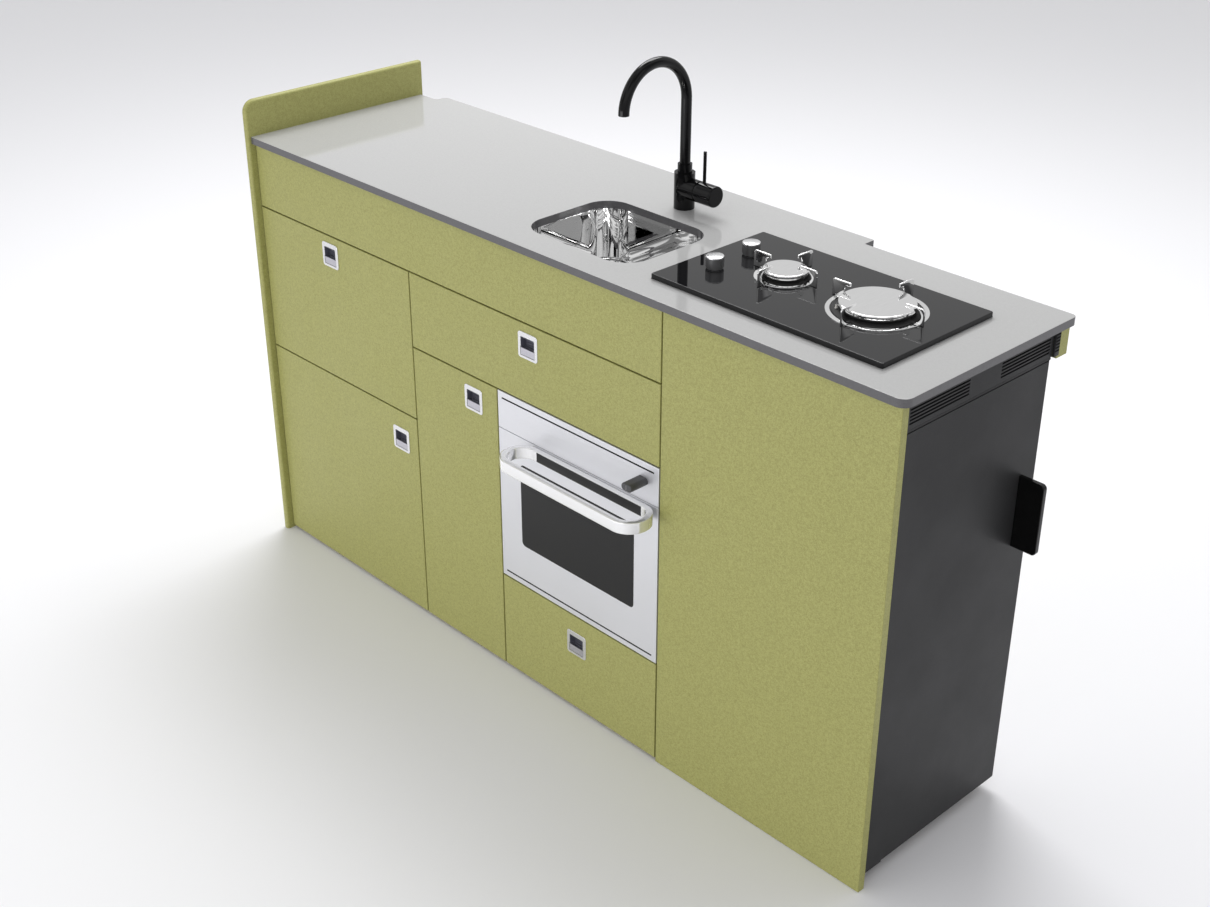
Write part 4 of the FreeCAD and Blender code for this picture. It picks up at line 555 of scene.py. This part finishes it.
def wall_of(form, points, across, back):
    """The upright faces of a round bar, in order round its axis."""
    sides = [face for face in faces_of(form, points) if abs(face.normal.z) < UPRIGHT]
    sides.sort(key=lambda face: math.atan2(face.calc_center_median().y - back,
                                           face.calc_center_median().x - across))
    return sides


def press_in(form, face, wall, depth):
    """Inset a face by a wall and push its middle in, which makes a tray."""
    inward = face.normal * -depth
    bmesh.ops.inset_region(form, faces=[face], thickness=wall, use_even_offset=True)
    pushed = bmesh.ops.extrude_discrete_faces(form, faces=[face])["faces"]
    bmesh.ops.translate(form, vec=inward, verts=pushed[0].verts)


def soften_corners(form, size, steps):
    """Round every edge where two faces meet at a clear angle."""
    corners = [edge for edge in form.edges
               if edge.is_manifold and edge.calc_face_angle(0.0) > CORNER_ANGLE]
    bmesh.ops.bevel(form, geom=corners, offset=size, offset_type="OFFSET", segments=steps, profile=0.5,
                    affect="EDGES", clamp_overlap=True, material=-1)


def finish_piece(name, form, finish, body, replaced=(), soften=0.0, steps=2):
    """Turn a form into a named piece that rides on a body."""
    bmesh.ops.recalc_face_normals(form, faces=form.faces[:])
    if soften:
        soften_corners(form, soften, steps)
    bmesh.ops.scale(form, vec=(MM, MM, MM), verts=form.verts[:])
    bmesh.ops.translate(form, vec=CORNER, verts=form.verts[:])
    mesh = bpy.data.meshes.new(name)
    form.to_mesh(mesh)
    form.free()
    mesh.shade_smooth()
    mesh.set_sharp_from_angle(angle=SMOOTH_ANGLE)
    mesh.materials.append(finish)
    piece = bpy.data.objects.new(name, mesh)
    bpy.context.scene.collection.objects.link(piece)
    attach(piece, body)
    if replaced:
        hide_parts(*replaced)


def plain_block(name, low, high, finish, body, soften=0.0):
    """A named piece that is one box between two corners."""
    form = bmesh.new()
    block(form, low, high)
    finish_piece(name, form, finish, body, soften=soften)


print("piece helpers are ready")

# %% [markdown]
# ## Finger pockets in the push latches
#
# Each latch is a square silver frame with a deep finger pocket. The pocket is lined with dark plastic whose
# back has a few grip ribs. The liner is a shallow tray pressed out of a block, and the ribs stand on its
# floor. One function makes all five, because only their places differ.

# %% Latch pocket liners
LATCH_PLACES = {
    "upper_left_drawer": (235.0, 713.5), "upper_middle_drawer": (816.6, 712.0),
    "bottom_drawer": (934.5, 150.0), "lower_left_door": (431.0, 385.1), "narrow_door": (661.6, 555.2),
}
POCKET_HALF, POCKET_LOW, POCKET_TOP = 17.7, -5.75, 15.65
LINER_FRONT, LINER_BACK, LINER_WALL, LINER_DEEP = -1.2, 10.9, 0.8, 11.0
RIBS, FIRST_RIB, RIB_STEP, RIB_HIGH = 4, -2.2, 4.6, 1.4
RIB_HALF, RIB_FRONT, RIB_BACK = 13.0, 8.4, 9.78
for front, (across, up) in LATCH_PLACES.items():
    form = bmesh.new()
    points = block(form, (across - POCKET_HALF, LINER_FRONT, up + POCKET_LOW),
                   (across + POCKET_HALF, LINER_BACK, up + POCKET_TOP))
    mouth = faces_of(form, points, (0.0, -1.0, 0.0))[0]
    press_in(form, mouth, LINER_WALL, LINER_DEEP)
    for step in range(RIBS):
        low = up + FIRST_RIB + step * RIB_STEP
        block(form, (across - RIB_HALF, RIB_FRONT, low), (across + RIB_HALF, RIB_BACK, low + RIB_HIGH))
    finish_piece(front + "_pocket_liner", form, dark_plastic, front, soften=0.25)
print("latch liners:", len(LATCH_PLACES))

# %% [markdown]
# ## Dark lines, panes and the seal of the oven
#
# The oven has a fine black line above its window, where the enamel front has a narrow groove with a black
# inlay. Below the window a second black strip sits in the gap at the door's lower edge: it is painted
# shade, standing in for the shade inside that gap. The inner side of the handle carries a black grip strip.
# Behind the tinted window there is a second pane, and a soft black seal sits on the casing where the door
# closes.
# The seal is a flat ring: a rectangle that is inset and given a thickness, then softened like a rubber lip.

# %% Oven trim
LINE_LEFT, LINE_RIGHT, LINE_FRONT, LINE_BACK, LINE_HALF = 740.6, 1126.4, 0.02, 0.78, 1.55
CASE_FRONT = 28.0


def seal_ring(form, low, high, width, thick, lip):
    """A soft rectangular ring: a face is inset, its middle taken out, and the rest extruded."""
    low, high = Vector((*low, 0.0)), Vector((*high, 0.0))
    sheet = bmesh.ops.create_grid(form, x_segments=1, y_segments=1, size=0.5)["verts"]
    bmesh.ops.scale(form, vec=(high.x - low.x, high.y - low.y, 1.0), verts=sheet)
    bmesh.ops.translate(form, vec=(low + high) / 2, verts=sheet)
    face = sheet[0].link_faces[0]
    bmesh.ops.inset_region(form, faces=[face], thickness=width, use_boundary=True, use_even_offset=True)
    bmesh.ops.delete(form, geom=[face], context="FACES")
    raised = bmesh.ops.extrude_face_region(form, geom=form.faces[:], use_keep_orig=True)["geom"]
    raised = [item for item in raised if isinstance(item, bmesh.types.BMVert)]
    bmesh.ops.translate(form, vec=(0.0, 0.0, thick), verts=raised)
    bmesh.ops.recalc_face_normals(form, faces=form.faces[:])
    soften_corners(form, lip, 3)


# The lower strip is painted shade: black in the gap at the door's lower edge, where only shade falls.
for name, up, body in (("oven_line_top", 588.0, "root"), ("oven_door_gap_painted_shade", 224.5, "oven_door")):
    plain_block(name, (LINE_LEFT, LINE_FRONT, up - LINE_HALF), (LINE_RIGHT, LINE_BACK, up + LINE_HALF),
                black_inlay_and_painted_shade, body)
plain_block("oven_handle_grip", (847.0, -12.95, 504.2), (1109.0, -12.35, 522.3), seal_black, "oven_door",
            soften=0.2)
plain_block("oven_inner_pane", (758.5, 21.0, 253.6), (1108.5, 25.4, 497.6), glass_clear, "oven_door",
            soften=0.4)
form = bmesh.new()
seal_ring(form, (750.2, 235.2), (1116.8, 519.8), width=9.5, thick=1.7, lip=0.6)
standing = Matrix.Translation((0.0, CASE_FRONT, 0.0)) @ AXES["-y"]
bmesh.ops.transform(form, matrix=standing, verts=form.verts[:])
finish_piece("oven_door_seal", form, seal_black, "root")
print("oven trim and seal made")

# %% [markdown]
# ## Chrome rings and burner crowns
#
# Round each burner a flat polished ring lies on the glass. Inside it stands a dark base with a lip, and a
# crown with a row of small ports, where the gas comes out under the cap. The ring and the base are half
# sections spun about the burner's axis. For the ports, every other face round the crown is inset twice:
# once to draw the port and once to sink it. A ceramic spark pin stands beside each crown.

# %% Burner rings, crowns and spark pins
GLASS = 909.0
BURNER_Y = 195.5
RING_WIDE, RING_HIGH, RING_SIDE, RING_CHAMFER = 7.6, 0.97, 0.5, 0.35
CROWN_LOW, CROWN_HIGH, CROWN_IN = 5.3, 3.95, 4.0
PORT_FRAME, PORT_DEEP = 1.1, 1.6
PIN_WAY = Vector((-0.7071, -0.7071, 0.0))
# Each burner's place across, the radii of its ring, base and cap, and its number of ports.
BURNERS = {"small": (1219.0, 50.0, 40.5, 36.5, 24), "large": (1404.0, 79.5, 70.0, 60.0, 40)}
rings, bases, crowns, posts, tips = (bmesh.new() for _ in range(5))
for across, ring_r, base_r, cap_r, ports in BURNERS.values():
    middle = (across, BURNER_Y, GLASS)
    ring_in = ring_r - RING_WIDE
    crown_r = cap_r - CROWN_IN
    spun(rings, [(ring_in, 0.0), (ring_r, 0.0), (ring_r, RING_SIDE), (ring_r - RING_CHAMFER, RING_HIGH),
                 (ring_in + RING_CHAMFER, RING_HIGH), (ring_in, RING_SIDE)], middle, "z", 96)
    spun(bases, [(0.0, -2.0), (base_r - 7.0, -2.0), (base_r - 7.0, 0.02), (base_r, 0.02), (base_r, 0.8),
                 (base_r - 1.0, 1.4), (crown_r + 1.0, 3.4), (0.0, 3.6)], middle, "z", 80, closed=False)
    spun(bases, [(0.0, 3.4), (crown_r + 1.0, 3.4), (crown_r + 1.5, 3.9), (crown_r + 1.5, 4.9),
                 (crown_r + 1.0, 5.4), (0.0, 5.4)], middle, "z", 80, closed=False)
    wall = drum(crowns, (across, BURNER_Y, GLASS + CROWN_LOW), "z", crown_r, CROWN_HIGH, sides=ports * 2)
    holes = wall_of(crowns, wall, across, BURNER_Y)[::2]
    bmesh.ops.inset_individual(crowns, faces=holes, thickness=PORT_FRAME, use_even_offset=True)
    bmesh.ops.inset_individual(crowns, faces=holes, thickness=0.02, depth=-PORT_DEEP, use_even_offset=True)
    pin = Vector((across, BURNER_Y, GLASS + 0.9)) + PIN_WAY * (cap_r + 2.0)
    spun(posts, [(0.0, 0.0), (2.4, 0.0), (2.4, 3.0), (1.7, 3.6), (1.7, 7.0), (0.0, 7.0)], pin, "z", 20,
         closed=False)
    drum(tips, pin + Vector((0.0, 0.0, 6.9)), "z", 0.7, 3.4, 0.4, 12)
finish_piece("burner_rings", rings, polished, "root")
finish_piece("burner_base_discs", bases, cast_dark, "root", ("burner_bases",))
finish_piece("burner_crowns", crowns, polished, "root", ("burner_bases",))
finish_piece("spark_pin_posts", posts, ceramic, "root")
finish_piece("spark_pin_tips", tips, brushed, "root")
print("burner ports:", sum(values[4] for values in BURNERS.values()))

# %% [markdown]
# ## Rounded edges on the pan prongs and the oven handle
#
# The pan prongs are thin steel plates, polished like mirrors. A mirror with sharp edges almost vanishes
# from sight, because its flat sides only show the dark glass. On the real ones, each edge is rounded a
# little and catches the light as a bright line. The same goes for the oven's loop handle. So each of these
# nodes is copied, its loose triangles are joined, and its edges are rounded with a bevel.

# %% Rounded copies of CAD nodes
SAME_METRES = 0.00001
FLAT_ANGLE = math.radians(1.0)
BEVEL_STEPS = 3
ROUNDED = {
    "pan_prongs_small": (polished, "pan_prongs_small", "burner_chrome", 1.2),
    "pan_prongs_large": (polished, "pan_prongs_large", "burner_chrome", 1.2),
    "oven_handle": (handle_white, "oven_door", "polished_steel", 0.8),
}
for node, (finish, body, slot, size) in ROUNDED.items():
    form = bmesh.new()
    form.from_mesh(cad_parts[node].data)
    bmesh.ops.remove_doubles(form, verts=form.verts[:], dist=SAME_METRES)
    bmesh.ops.dissolve_limit(form, angle_limit=FLAT_ANGLE, verts=form.verts[:], edges=form.edges[:])
    bmesh.ops.scale(form, vec=(1.0 / MM,) * 3, verts=form.verts[:])
    bmesh.ops.translate(form, vec=-CORNER / MM, verts=form.verts[:])
    finish_piece(node + "_rounded", form, finish, body, (node,), size, BEVEL_STEPS)
print("rounded copies:", len(ROUNDED))

# %% [markdown]
# ## Control knobs of the hob
#
# The two knobs have a dark brushed body, a narrow groove round the foot and a silver disc on top. The side
# is finely fluted so that wet fingers grip it. The flutes come from a drum with many sides, where every
# other side face is inset and sunk a little. A fine line on the disc shows where the knob points.

# %% Hob knobs
KNOB_X, KNOB_LOW, KNOB_R = 1118.0, 909.5, 15.0
FOOT_HIGH, BODY_HIGH, FLUTES = 3.3, 15.3, 60
LINE_HALF_WIDE = 0.5
for name, back in (("hob_knob_small", 227.0), ("hob_knob_large", 140.0)):
    middle = (KNOB_X, back, KNOB_LOW)
    form = bmesh.new()
    spun(form, [(0.0, 0.0), (13.2, 0.0), (13.2, 1.6), (KNOB_R - 0.4, 2.2), (KNOB_R - 0.4, 3.4), (0.0, 3.4)],
         middle, "z", 72, closed=False)
    wall = drum(form, (KNOB_X, back, KNOB_LOW + FOOT_HIGH), "z", KNOB_R, BODY_HIGH, sides=FLUTES * 2)
    flutes = wall_of(form, wall, KNOB_X, back)[::2]
    bmesh.ops.inset_individual(form, faces=flutes, thickness=0.12, depth=-0.22, use_even_offset=True)
    finish_piece(name + "_body", form, knob_dark, name, (name,))
    form = bmesh.new()
    spun(form, [(0.0, 18.5), (KNOB_R - 0.2, 18.5), (KNOB_R, 18.8), (KNOB_R, 20.6), (KNOB_R - 0.3, 21.2),
                (KNOB_R - 0.9, 21.45), (0.0, 21.45)], middle, "z", 72, closed=False)
    finish_piece(name + "_disc", form, knob_silver, name)
    plain_block(name + "_line", (KNOB_X - LINE_HALF_WIDE, back - 13.0, KNOB_LOW + 21.3),
                (KNOB_X + LINE_HALF_WIDE, back - 6.0, KNOB_LOW + 21.5), dark_plastic, name)
print("hob knobs made")

# %% [markdown]
# ## Seal under the hob glass, and the mark on the oven knob
#
# A black bead of sealant shows as a thin line all round, where the glass lies on the worktop. The oven
# knob gets a fine index line on its face.

# %% Hob seal and oven knob line
WORKTOP_TOP = 900.02
form = bmesh.new()
seal_ring(form, (1062.6, 50.6), (1529.4, 319.4), width=3.3, thick=0.96, lip=0.3)
bmesh.ops.translate(form, vec=(0.0, 0.0, WORKTOP_TOP), verts=form.verts[:])
finish_piece("hob_seal", form, seal_black, "root")
plain_block("oven_knob_line", (1100.4, -39.62, 561.0), (1101.6, -39.4, 570.0), knob_dark, "oven_knob")
print("seal and index made")

# %% [markdown]
# ## Tap outlet
#
# The end of the spout holds a small outlet that mixes air into the water: a narrow bright ring round a
# fine mesh. The mesh is a round plate whose faces are inset and sunk to make a field of small holes.

# %% Tap outlet
SECTORS = 32
HUB_R, PITS_FROM = 2.0, 2.5
PIT_WALL, PIT_SHARE = 0.25, 0.8
SPOUT_X, SPOUT_Y = 870.5, 175.0


def pierced_disc(form, place, radius, rows, thick, rim):
    """A round plate with rings of small pits on its upper face."""
    older = set(form.verts)
    row_wide = (radius - rim - HUB_R) / rows
    section = [(0.0, 0.0), (radius, 0.0), (radius, thick)]
    section += [(radius - rim - row_wide * row, thick) for row in range(rows + 1)]
    section.append((0.0, thick))
    spun(form, section, place, "z", SECTORS, closed=False)
    top = place[2] + thick
    field = []
    for face in form.faces:
        if face.verts[0] in older or len(face.verts) != 4:
            continue
        centre = face.calc_center_median()
        out = math.hypot(centre.x - place[0], centre.y - place[1])
        if abs(centre.z - top) < 0.01 and PITS_FROM < out < radius - rim:
            turn = math.atan2(centre.y - place[1], centre.x - place[0])
            sector = int(round(turn / math.tau * SECTORS + SECTORS + 0.5))
            if (sector + int(out / row_wide)) % 2:
                field.append(face)
    bmesh.ops.recalc_face_normals(form, faces=form.faces[:])
    bmesh.ops.inset_individual(form, faces=field, thickness=PIT_WALL, depth=-thick * PIT_SHARE,
                               use_even_offset=True)


form = bmesh.new()
spun(form, [(5.6, 1098.3), (7.5, 1098.3), (7.9, 1098.8), (7.9, 1101.0), (5.6, 1101.0)],
     (SPOUT_X, SPOUT_Y, 0.0), "z", 48)
pierced_disc(form, (SPOUT_X, SPOUT_Y, 1099.2), radius=5.7, rows=3, thick=0.8, rim=0.4)
finish_piece("tap_outlet", form, brushed, "tap_spout")
print("tap outlet made")

# %% [markdown]
# ## Sink strainer
#
# The strainer is a thin steel basket plate with rings of holes and a small knob to lift it by. The plate is
# made like the mesh of the tap's outlet, only larger.

# %% Sink strainer
DRAIN_X, DRAIN_Y = 871.0, 159.5
form = bmesh.new()
pierced_disc(form, (DRAIN_X, DRAIN_Y, 768.1), radius=27.4, rows=6, thick=2.0, rim=3.0)
spun(form, [(0.0, 770.0), (3.2, 770.0), (2.4, 772.5), (2.4, 776.0), (4.4, 778.0), (5.0, 779.6),
            (4.2, 780.9), (0.0, 781.0)], (DRAIN_X, DRAIN_Y, 0.0), "z", 32, closed=False)
finish_piece("sink_strainer_plate", form, polished, "sink_strainer", ("sink_strainer",))
print("strainer made")

# %% [markdown]
# ## Inside of the fridge door
#
# The fridge door closes on a soft grey seal. Inside the door there is a white liner with three shelves for
# bottles. Each shelf is a deep tray, pressed out of a block with a thin wall, and its front edge has a
# bright rail. The trays stay clear of the fridge's side walls while the door swings.

# %% Fridge door seal, liner and bottle shelves
SEAL_X = 1552.3
SHELF_LOWS = (110.0, 330.0, 550.0)
SHELF_X, SHELF_END, SHELF_NEAR, SHELF_FAR, SHELF_HIGH = 1506.0, 1583.2, 68.0, 330.0, 62.0
TRAY_WALL, TRAY_DEEP = 2.2, 59.5
RAIL_X, RAIL_NEAR, RAIL_FAR, RAIL_ABOVE = 1503.5, 68.5, 329.5, 74.0
RAIL_R, RAIL_SIDE_LONG = 2.0, 79.6
ACROSS_THE_END = Matrix(((0, 0, 1, 0), (1, 0, 0, 0), (0, 1, 0, 0), (0, 0, 0, 1)))
form = bmesh.new()
seal_ring(form, (22.0, 33.0), (375.0, 829.0), width=15.0, thick=7.4, lip=1.6)
bmesh.ops.transform(form, matrix=Matrix.Translation((SEAL_X, 0.0, 0.0)) @ ACROSS_THE_END,
                    verts=form.verts[:])
finish_piece("fridge_door_seal", form, seal_grey, "fridge_door")
form = bmesh.new()
block(form, (1583.0, 63.3, 74.3), (1585.9, 333.7, 787.7))
for low in SHELF_LOWS:
    points = block(form, (SHELF_X, SHELF_NEAR, low), (SHELF_END, SHELF_FAR, low + SHELF_HIGH))
    mouth = faces_of(form, points, (0.0, 0.0, 1.0))[0]
    press_in(form, mouth, TRAY_WALL, TRAY_DEEP)
finish_piece("fridge_door_liner", form, liner_white, "fridge_door", soften=0.9)
form = bmesh.new()
for low in SHELF_LOWS:
    drum(form, (RAIL_X, RAIL_NEAR, low + RAIL_ABOVE), "y", RAIL_R, RAIL_FAR - RAIL_NEAR, sides=16)
    for side in (RAIL_NEAR, RAIL_FAR):
        drum(form, (RAIL_X, side, low + RAIL_ABOVE), "x", RAIL_R, RAIL_SIDE_LONG, sides=16)
finish_piece("fridge_bottle_rails", form, brushed, "fridge_door")
print("bottle shelves:", len(SHELF_LOWS))

# %% [markdown]
# ## Painted shade behind the louvres
#
# A thin black sheet lies behind the two groups of slots in the vent panel, so the slots look black: it is
# painted shade, standing in for the shade inside the cabinet behind the slots. At the back the panel ends
# in a small piece that covers the first part of the batten's end; its slots are black strips on its face,
# painted shade in place of open slots.

# %% Painted shade behind the vent, and the end piece
VENT_SLOTS, VENT_FIRST, VENT_STEP, VENT_HIGH = 6, 847.0, 5.6, 3.0
# Painted shade: a black sheet behind the slots, in place of the shade inside the cabinet.
plain_block("vent_slot_painted_shade", (1595.2, 18.0, 841.0), (1596.9, 377.0, 884.0), black_inlay_and_painted_shade, "root",
            soften=0.3)
plain_block("vent_end_piece", (1603.05, 379.2, 839.3), (1607.3, 391.5, 885.9), charcoal, "root",
            soften=0.2)
# Painted shade: the end piece's slots are black strips on its face, not openings.
form = bmesh.new()
for step in range(VENT_SLOTS):
    low = VENT_FIRST + step * VENT_STEP
    block(form, (1607.2, 379.5, low), (1607.38, 391.2, low + VENT_HIGH))
finish_piece("vent_end_painted_slots", form, black_inlay_and_painted_shade, "root")
print("vent shade sheet and end piece made")

# %% [markdown]
# ## Hinge cups and screws
#
# The two doors hang on concealed hinges, whose round cups are sunk in the back of each door. Four screws
# hold each hinge plate. A screw is a low head whose top is pressed in for the driver, and it has few
# faces because there are many of them.

# %% Hinge cups and screws
CUP_R, CUP_IN, DOOR_BACK = 17.5, 36.0, 14.5
LINK_HALF_WIDE, LINK_HALF_HIGH, LINK_FRONT, LINK_BACK = 6.0, 5.0, 14.4, 15.25
PLATE_FACE, SCREW_R, SCREW_HIGH = 2.98, 3.2, 1.3
SCREWS_DEEP, SCREWS_UP = (24.0, 46.0), (-12.0, 12.0)
SCREW_TOP, SOCKET_WALL, SOCKET_DEEP = SCREW_R * 0.72, SCREW_R * 0.42, SCREW_HIGH * 0.6
# Each door's hinge edge, the cabinet wall beside it and the heights of its hinges.
HINGES = {"lower_left_door": (1.5, 0.0, (96.5, 356.5)), "narrow_door": (484.5, 490.5, (96.5, 510.5))}


def screw(form, place, axis):
    """A low pan head with a socket, standing on a surface and facing along an axis."""
    older = set(form.verts)
    points = drum(form, (0.0, 0.0, 0.0), "z", SCREW_R, SCREW_HIGH, SCREW_TOP, 12)
    top = faces_of(form, points, (0.0, 0.0, 1.0))[0]
    press_in(form, top, SOCKET_WALL, SOCKET_DEEP)
    made = [point for point in form.verts if point not in older]
    bmesh.ops.transform(form, matrix=Matrix.Translation(place) @ AXES[axis], verts=made)


screws = bmesh.new()
for door, (edge, wall, ups) in HINGES.items():
    form = bmesh.new()
    for up in ups:
        spun(form, [(0.0, -0.2), (CUP_R, -0.2), (CUP_R, 0.5), (17.0, 0.8), (15.6, 0.8), (15.0, 0.2),
                    (0.0, 0.2)], (edge + CUP_IN, DOOR_BACK, up), "y", 40, closed=False)
        middle = edge + CUP_IN
        block(form, (middle - LINK_HALF_WIDE, LINK_FRONT, up - LINK_HALF_HIGH),
              (middle + LINK_HALF_WIDE, LINK_BACK, up + LINK_HALF_HIGH))
        for deep in SCREWS_DEEP:
            for side in SCREWS_UP:
                screw(screws, (wall + PLATE_FACE, deep, up + side), "x")
    finish_piece(door + "_hinge_cups", form, zinc, door)
finish_piece("hinge_plate_screws", screws, zinc, "root")
print("hinge cups: 4, screws: 16")

# %% [markdown]
# ## The photographer's camera
#
# The picture looks down on the right-hand front corner from a little over two metres away. The place,
# the turn and the lens were worked out from the cabinet's own straight edges.

# %% Camera
LENS_MM, SENSOR_MM = 50.33, 36.0
CAMERA_AT = (2.0322, -1.9429, 1.9377)
CAMERA_TILT, CAMERA_TURN = 61.674, 46.456
lens = bpy.data.cameras.new("photo_camera")
lens.lens = LENS_MM
lens.sensor_width = SENSOR_MM
camera = bpy.data.objects.new("photo_camera", lens)
camera.location = CAMERA_AT
camera.rotation_euler = (math.radians(CAMERA_TILT), 0.0, math.radians(CAMERA_TURN))
bpy.context.scene.collection.objects.link(camera)
bpy.context.scene.camera = camera
print("camera looks from", [round(part, 3) for part in camera.location])

# %% [markdown]
# ## A pale studio
#
# The kitchen stands on a pale floor that fades into the background. Polished steel only looks like steel
# when it has something to mirror, so the world is not one even white: a wide noise makes large bright and
# dim panels all round. Behind the kitchen and near the horizon the world is even, so the background stays
# clean. Two large area lamps, one low in front and one high at the back, add light to the fronts and tops.

# %% Floor
FLOOR_HALF, FLOOR_DROP = 30.0, 0.0005
floor_mesh = bpy.data.meshes.new("studio_floor")
floor_form = bmesh.new()
bmesh.ops.create_grid(floor_form, x_segments=1, y_segments=1, size=FLOOR_HALF)
floor_form.to_mesh(floor_mesh)
floor_form.free()
floor = bpy.data.objects.new("studio_floor", floor_mesh)
floor.location = (0.0, 0.0, -FLOOR_DROP)
bpy.context.scene.collection.objects.link(floor)
floor_finish = new_finish("studio_floor", (0.857, 0.857, 0.882), 0.6, Specular_IOR_Level=0.2)[0]
floor_mesh.materials.append(floor_finish)
print("floor laid")

# %% World and lamps
PANEL_SCALE = 2.2
DIM, BRIGHT, EVEN = 0.32, 1.08, 0.77
BEHIND_KITCHEN = (-0.62, 0.78, 0.0)
NOISE_SPAN, BEHIND_SPAN, HORIZON_SPAN = (0.42, 0.58), (0.35, 0.75), (0.08, 0.24)
world = bpy.data.worlds.new("studio")
world.use_nodes = True
sky = world.node_tree
background = sky.nodes["Background"]
background.inputs["Color"].default_value = (0.95, 0.95, 0.95, 1.0)
direction = sky.nodes.new("ShaderNodeTexCoord").outputs["Generated"]
panels = add(sky, "ShaderNodeTexNoise", Scale=PANEL_SCALE, Detail=0.0)
sky.links.new(direction, panels.inputs["Vector"])
levels = ranged(sky, panels.outputs[0], *NOISE_SPAN, DIM, BRIGHT)
ahead = sky.nodes.new("ShaderNodeVectorMath")
ahead.operation = "DOT_PRODUCT"
ahead.inputs[1].default_value = BEHIND_KITCHEN
sky.links.new(direction, ahead.inputs[0])
height = sky.nodes.new("ShaderNodeSeparateXYZ")
sky.links.new(direction, height.inputs["Vector"])
behind = ranged(sky, ahead.outputs["Value"], *BEHIND_SPAN, 0.0, 1.0)
horizon = ranged(sky, height.outputs["Z"], *HORIZON_SPAN, 1.0, 0.0)
even = counted(sky, "MAXIMUM", behind, horizon)
plain = counted(sky, "MULTIPLY", even, EVEN)
rest = counted(sky, "MULTIPLY", levels, counted(sky, "SUBTRACT", 1.0, even))
sky.links.new(counted(sky, "ADD", plain, rest), background.inputs["Strength"])
bpy.context.scene.world = world
bpy.context.scene.view_settings.view_transform = "Standard"


def soft_light(name, place, aim, size, power):
    lamp = bpy.data.lights.new(name, "AREA")
    lamp.shape = "RECTANGLE"
    lamp.size, lamp.size_y = size
    lamp.energy = power
    holder = bpy.data.objects.new(name, lamp)
    holder.location = place
    holder.rotation_euler = (Vector(aim) - Vector(place)).to_track_quat("-Z", "Y").to_euler()
    bpy.context.scene.collection.objects.link(holder)


soft_light("front_panel", (-0.3, -3.4, 0.4), aim=(-0.05, 0.0, 0.3), size=(3.2, 0.7), power=27.0)
soft_light("top_panel", (-1.3, 1.4, 3.4), aim=(-0.3, 0.0, 0.4), size=(2.4, 1.5), power=92.0)
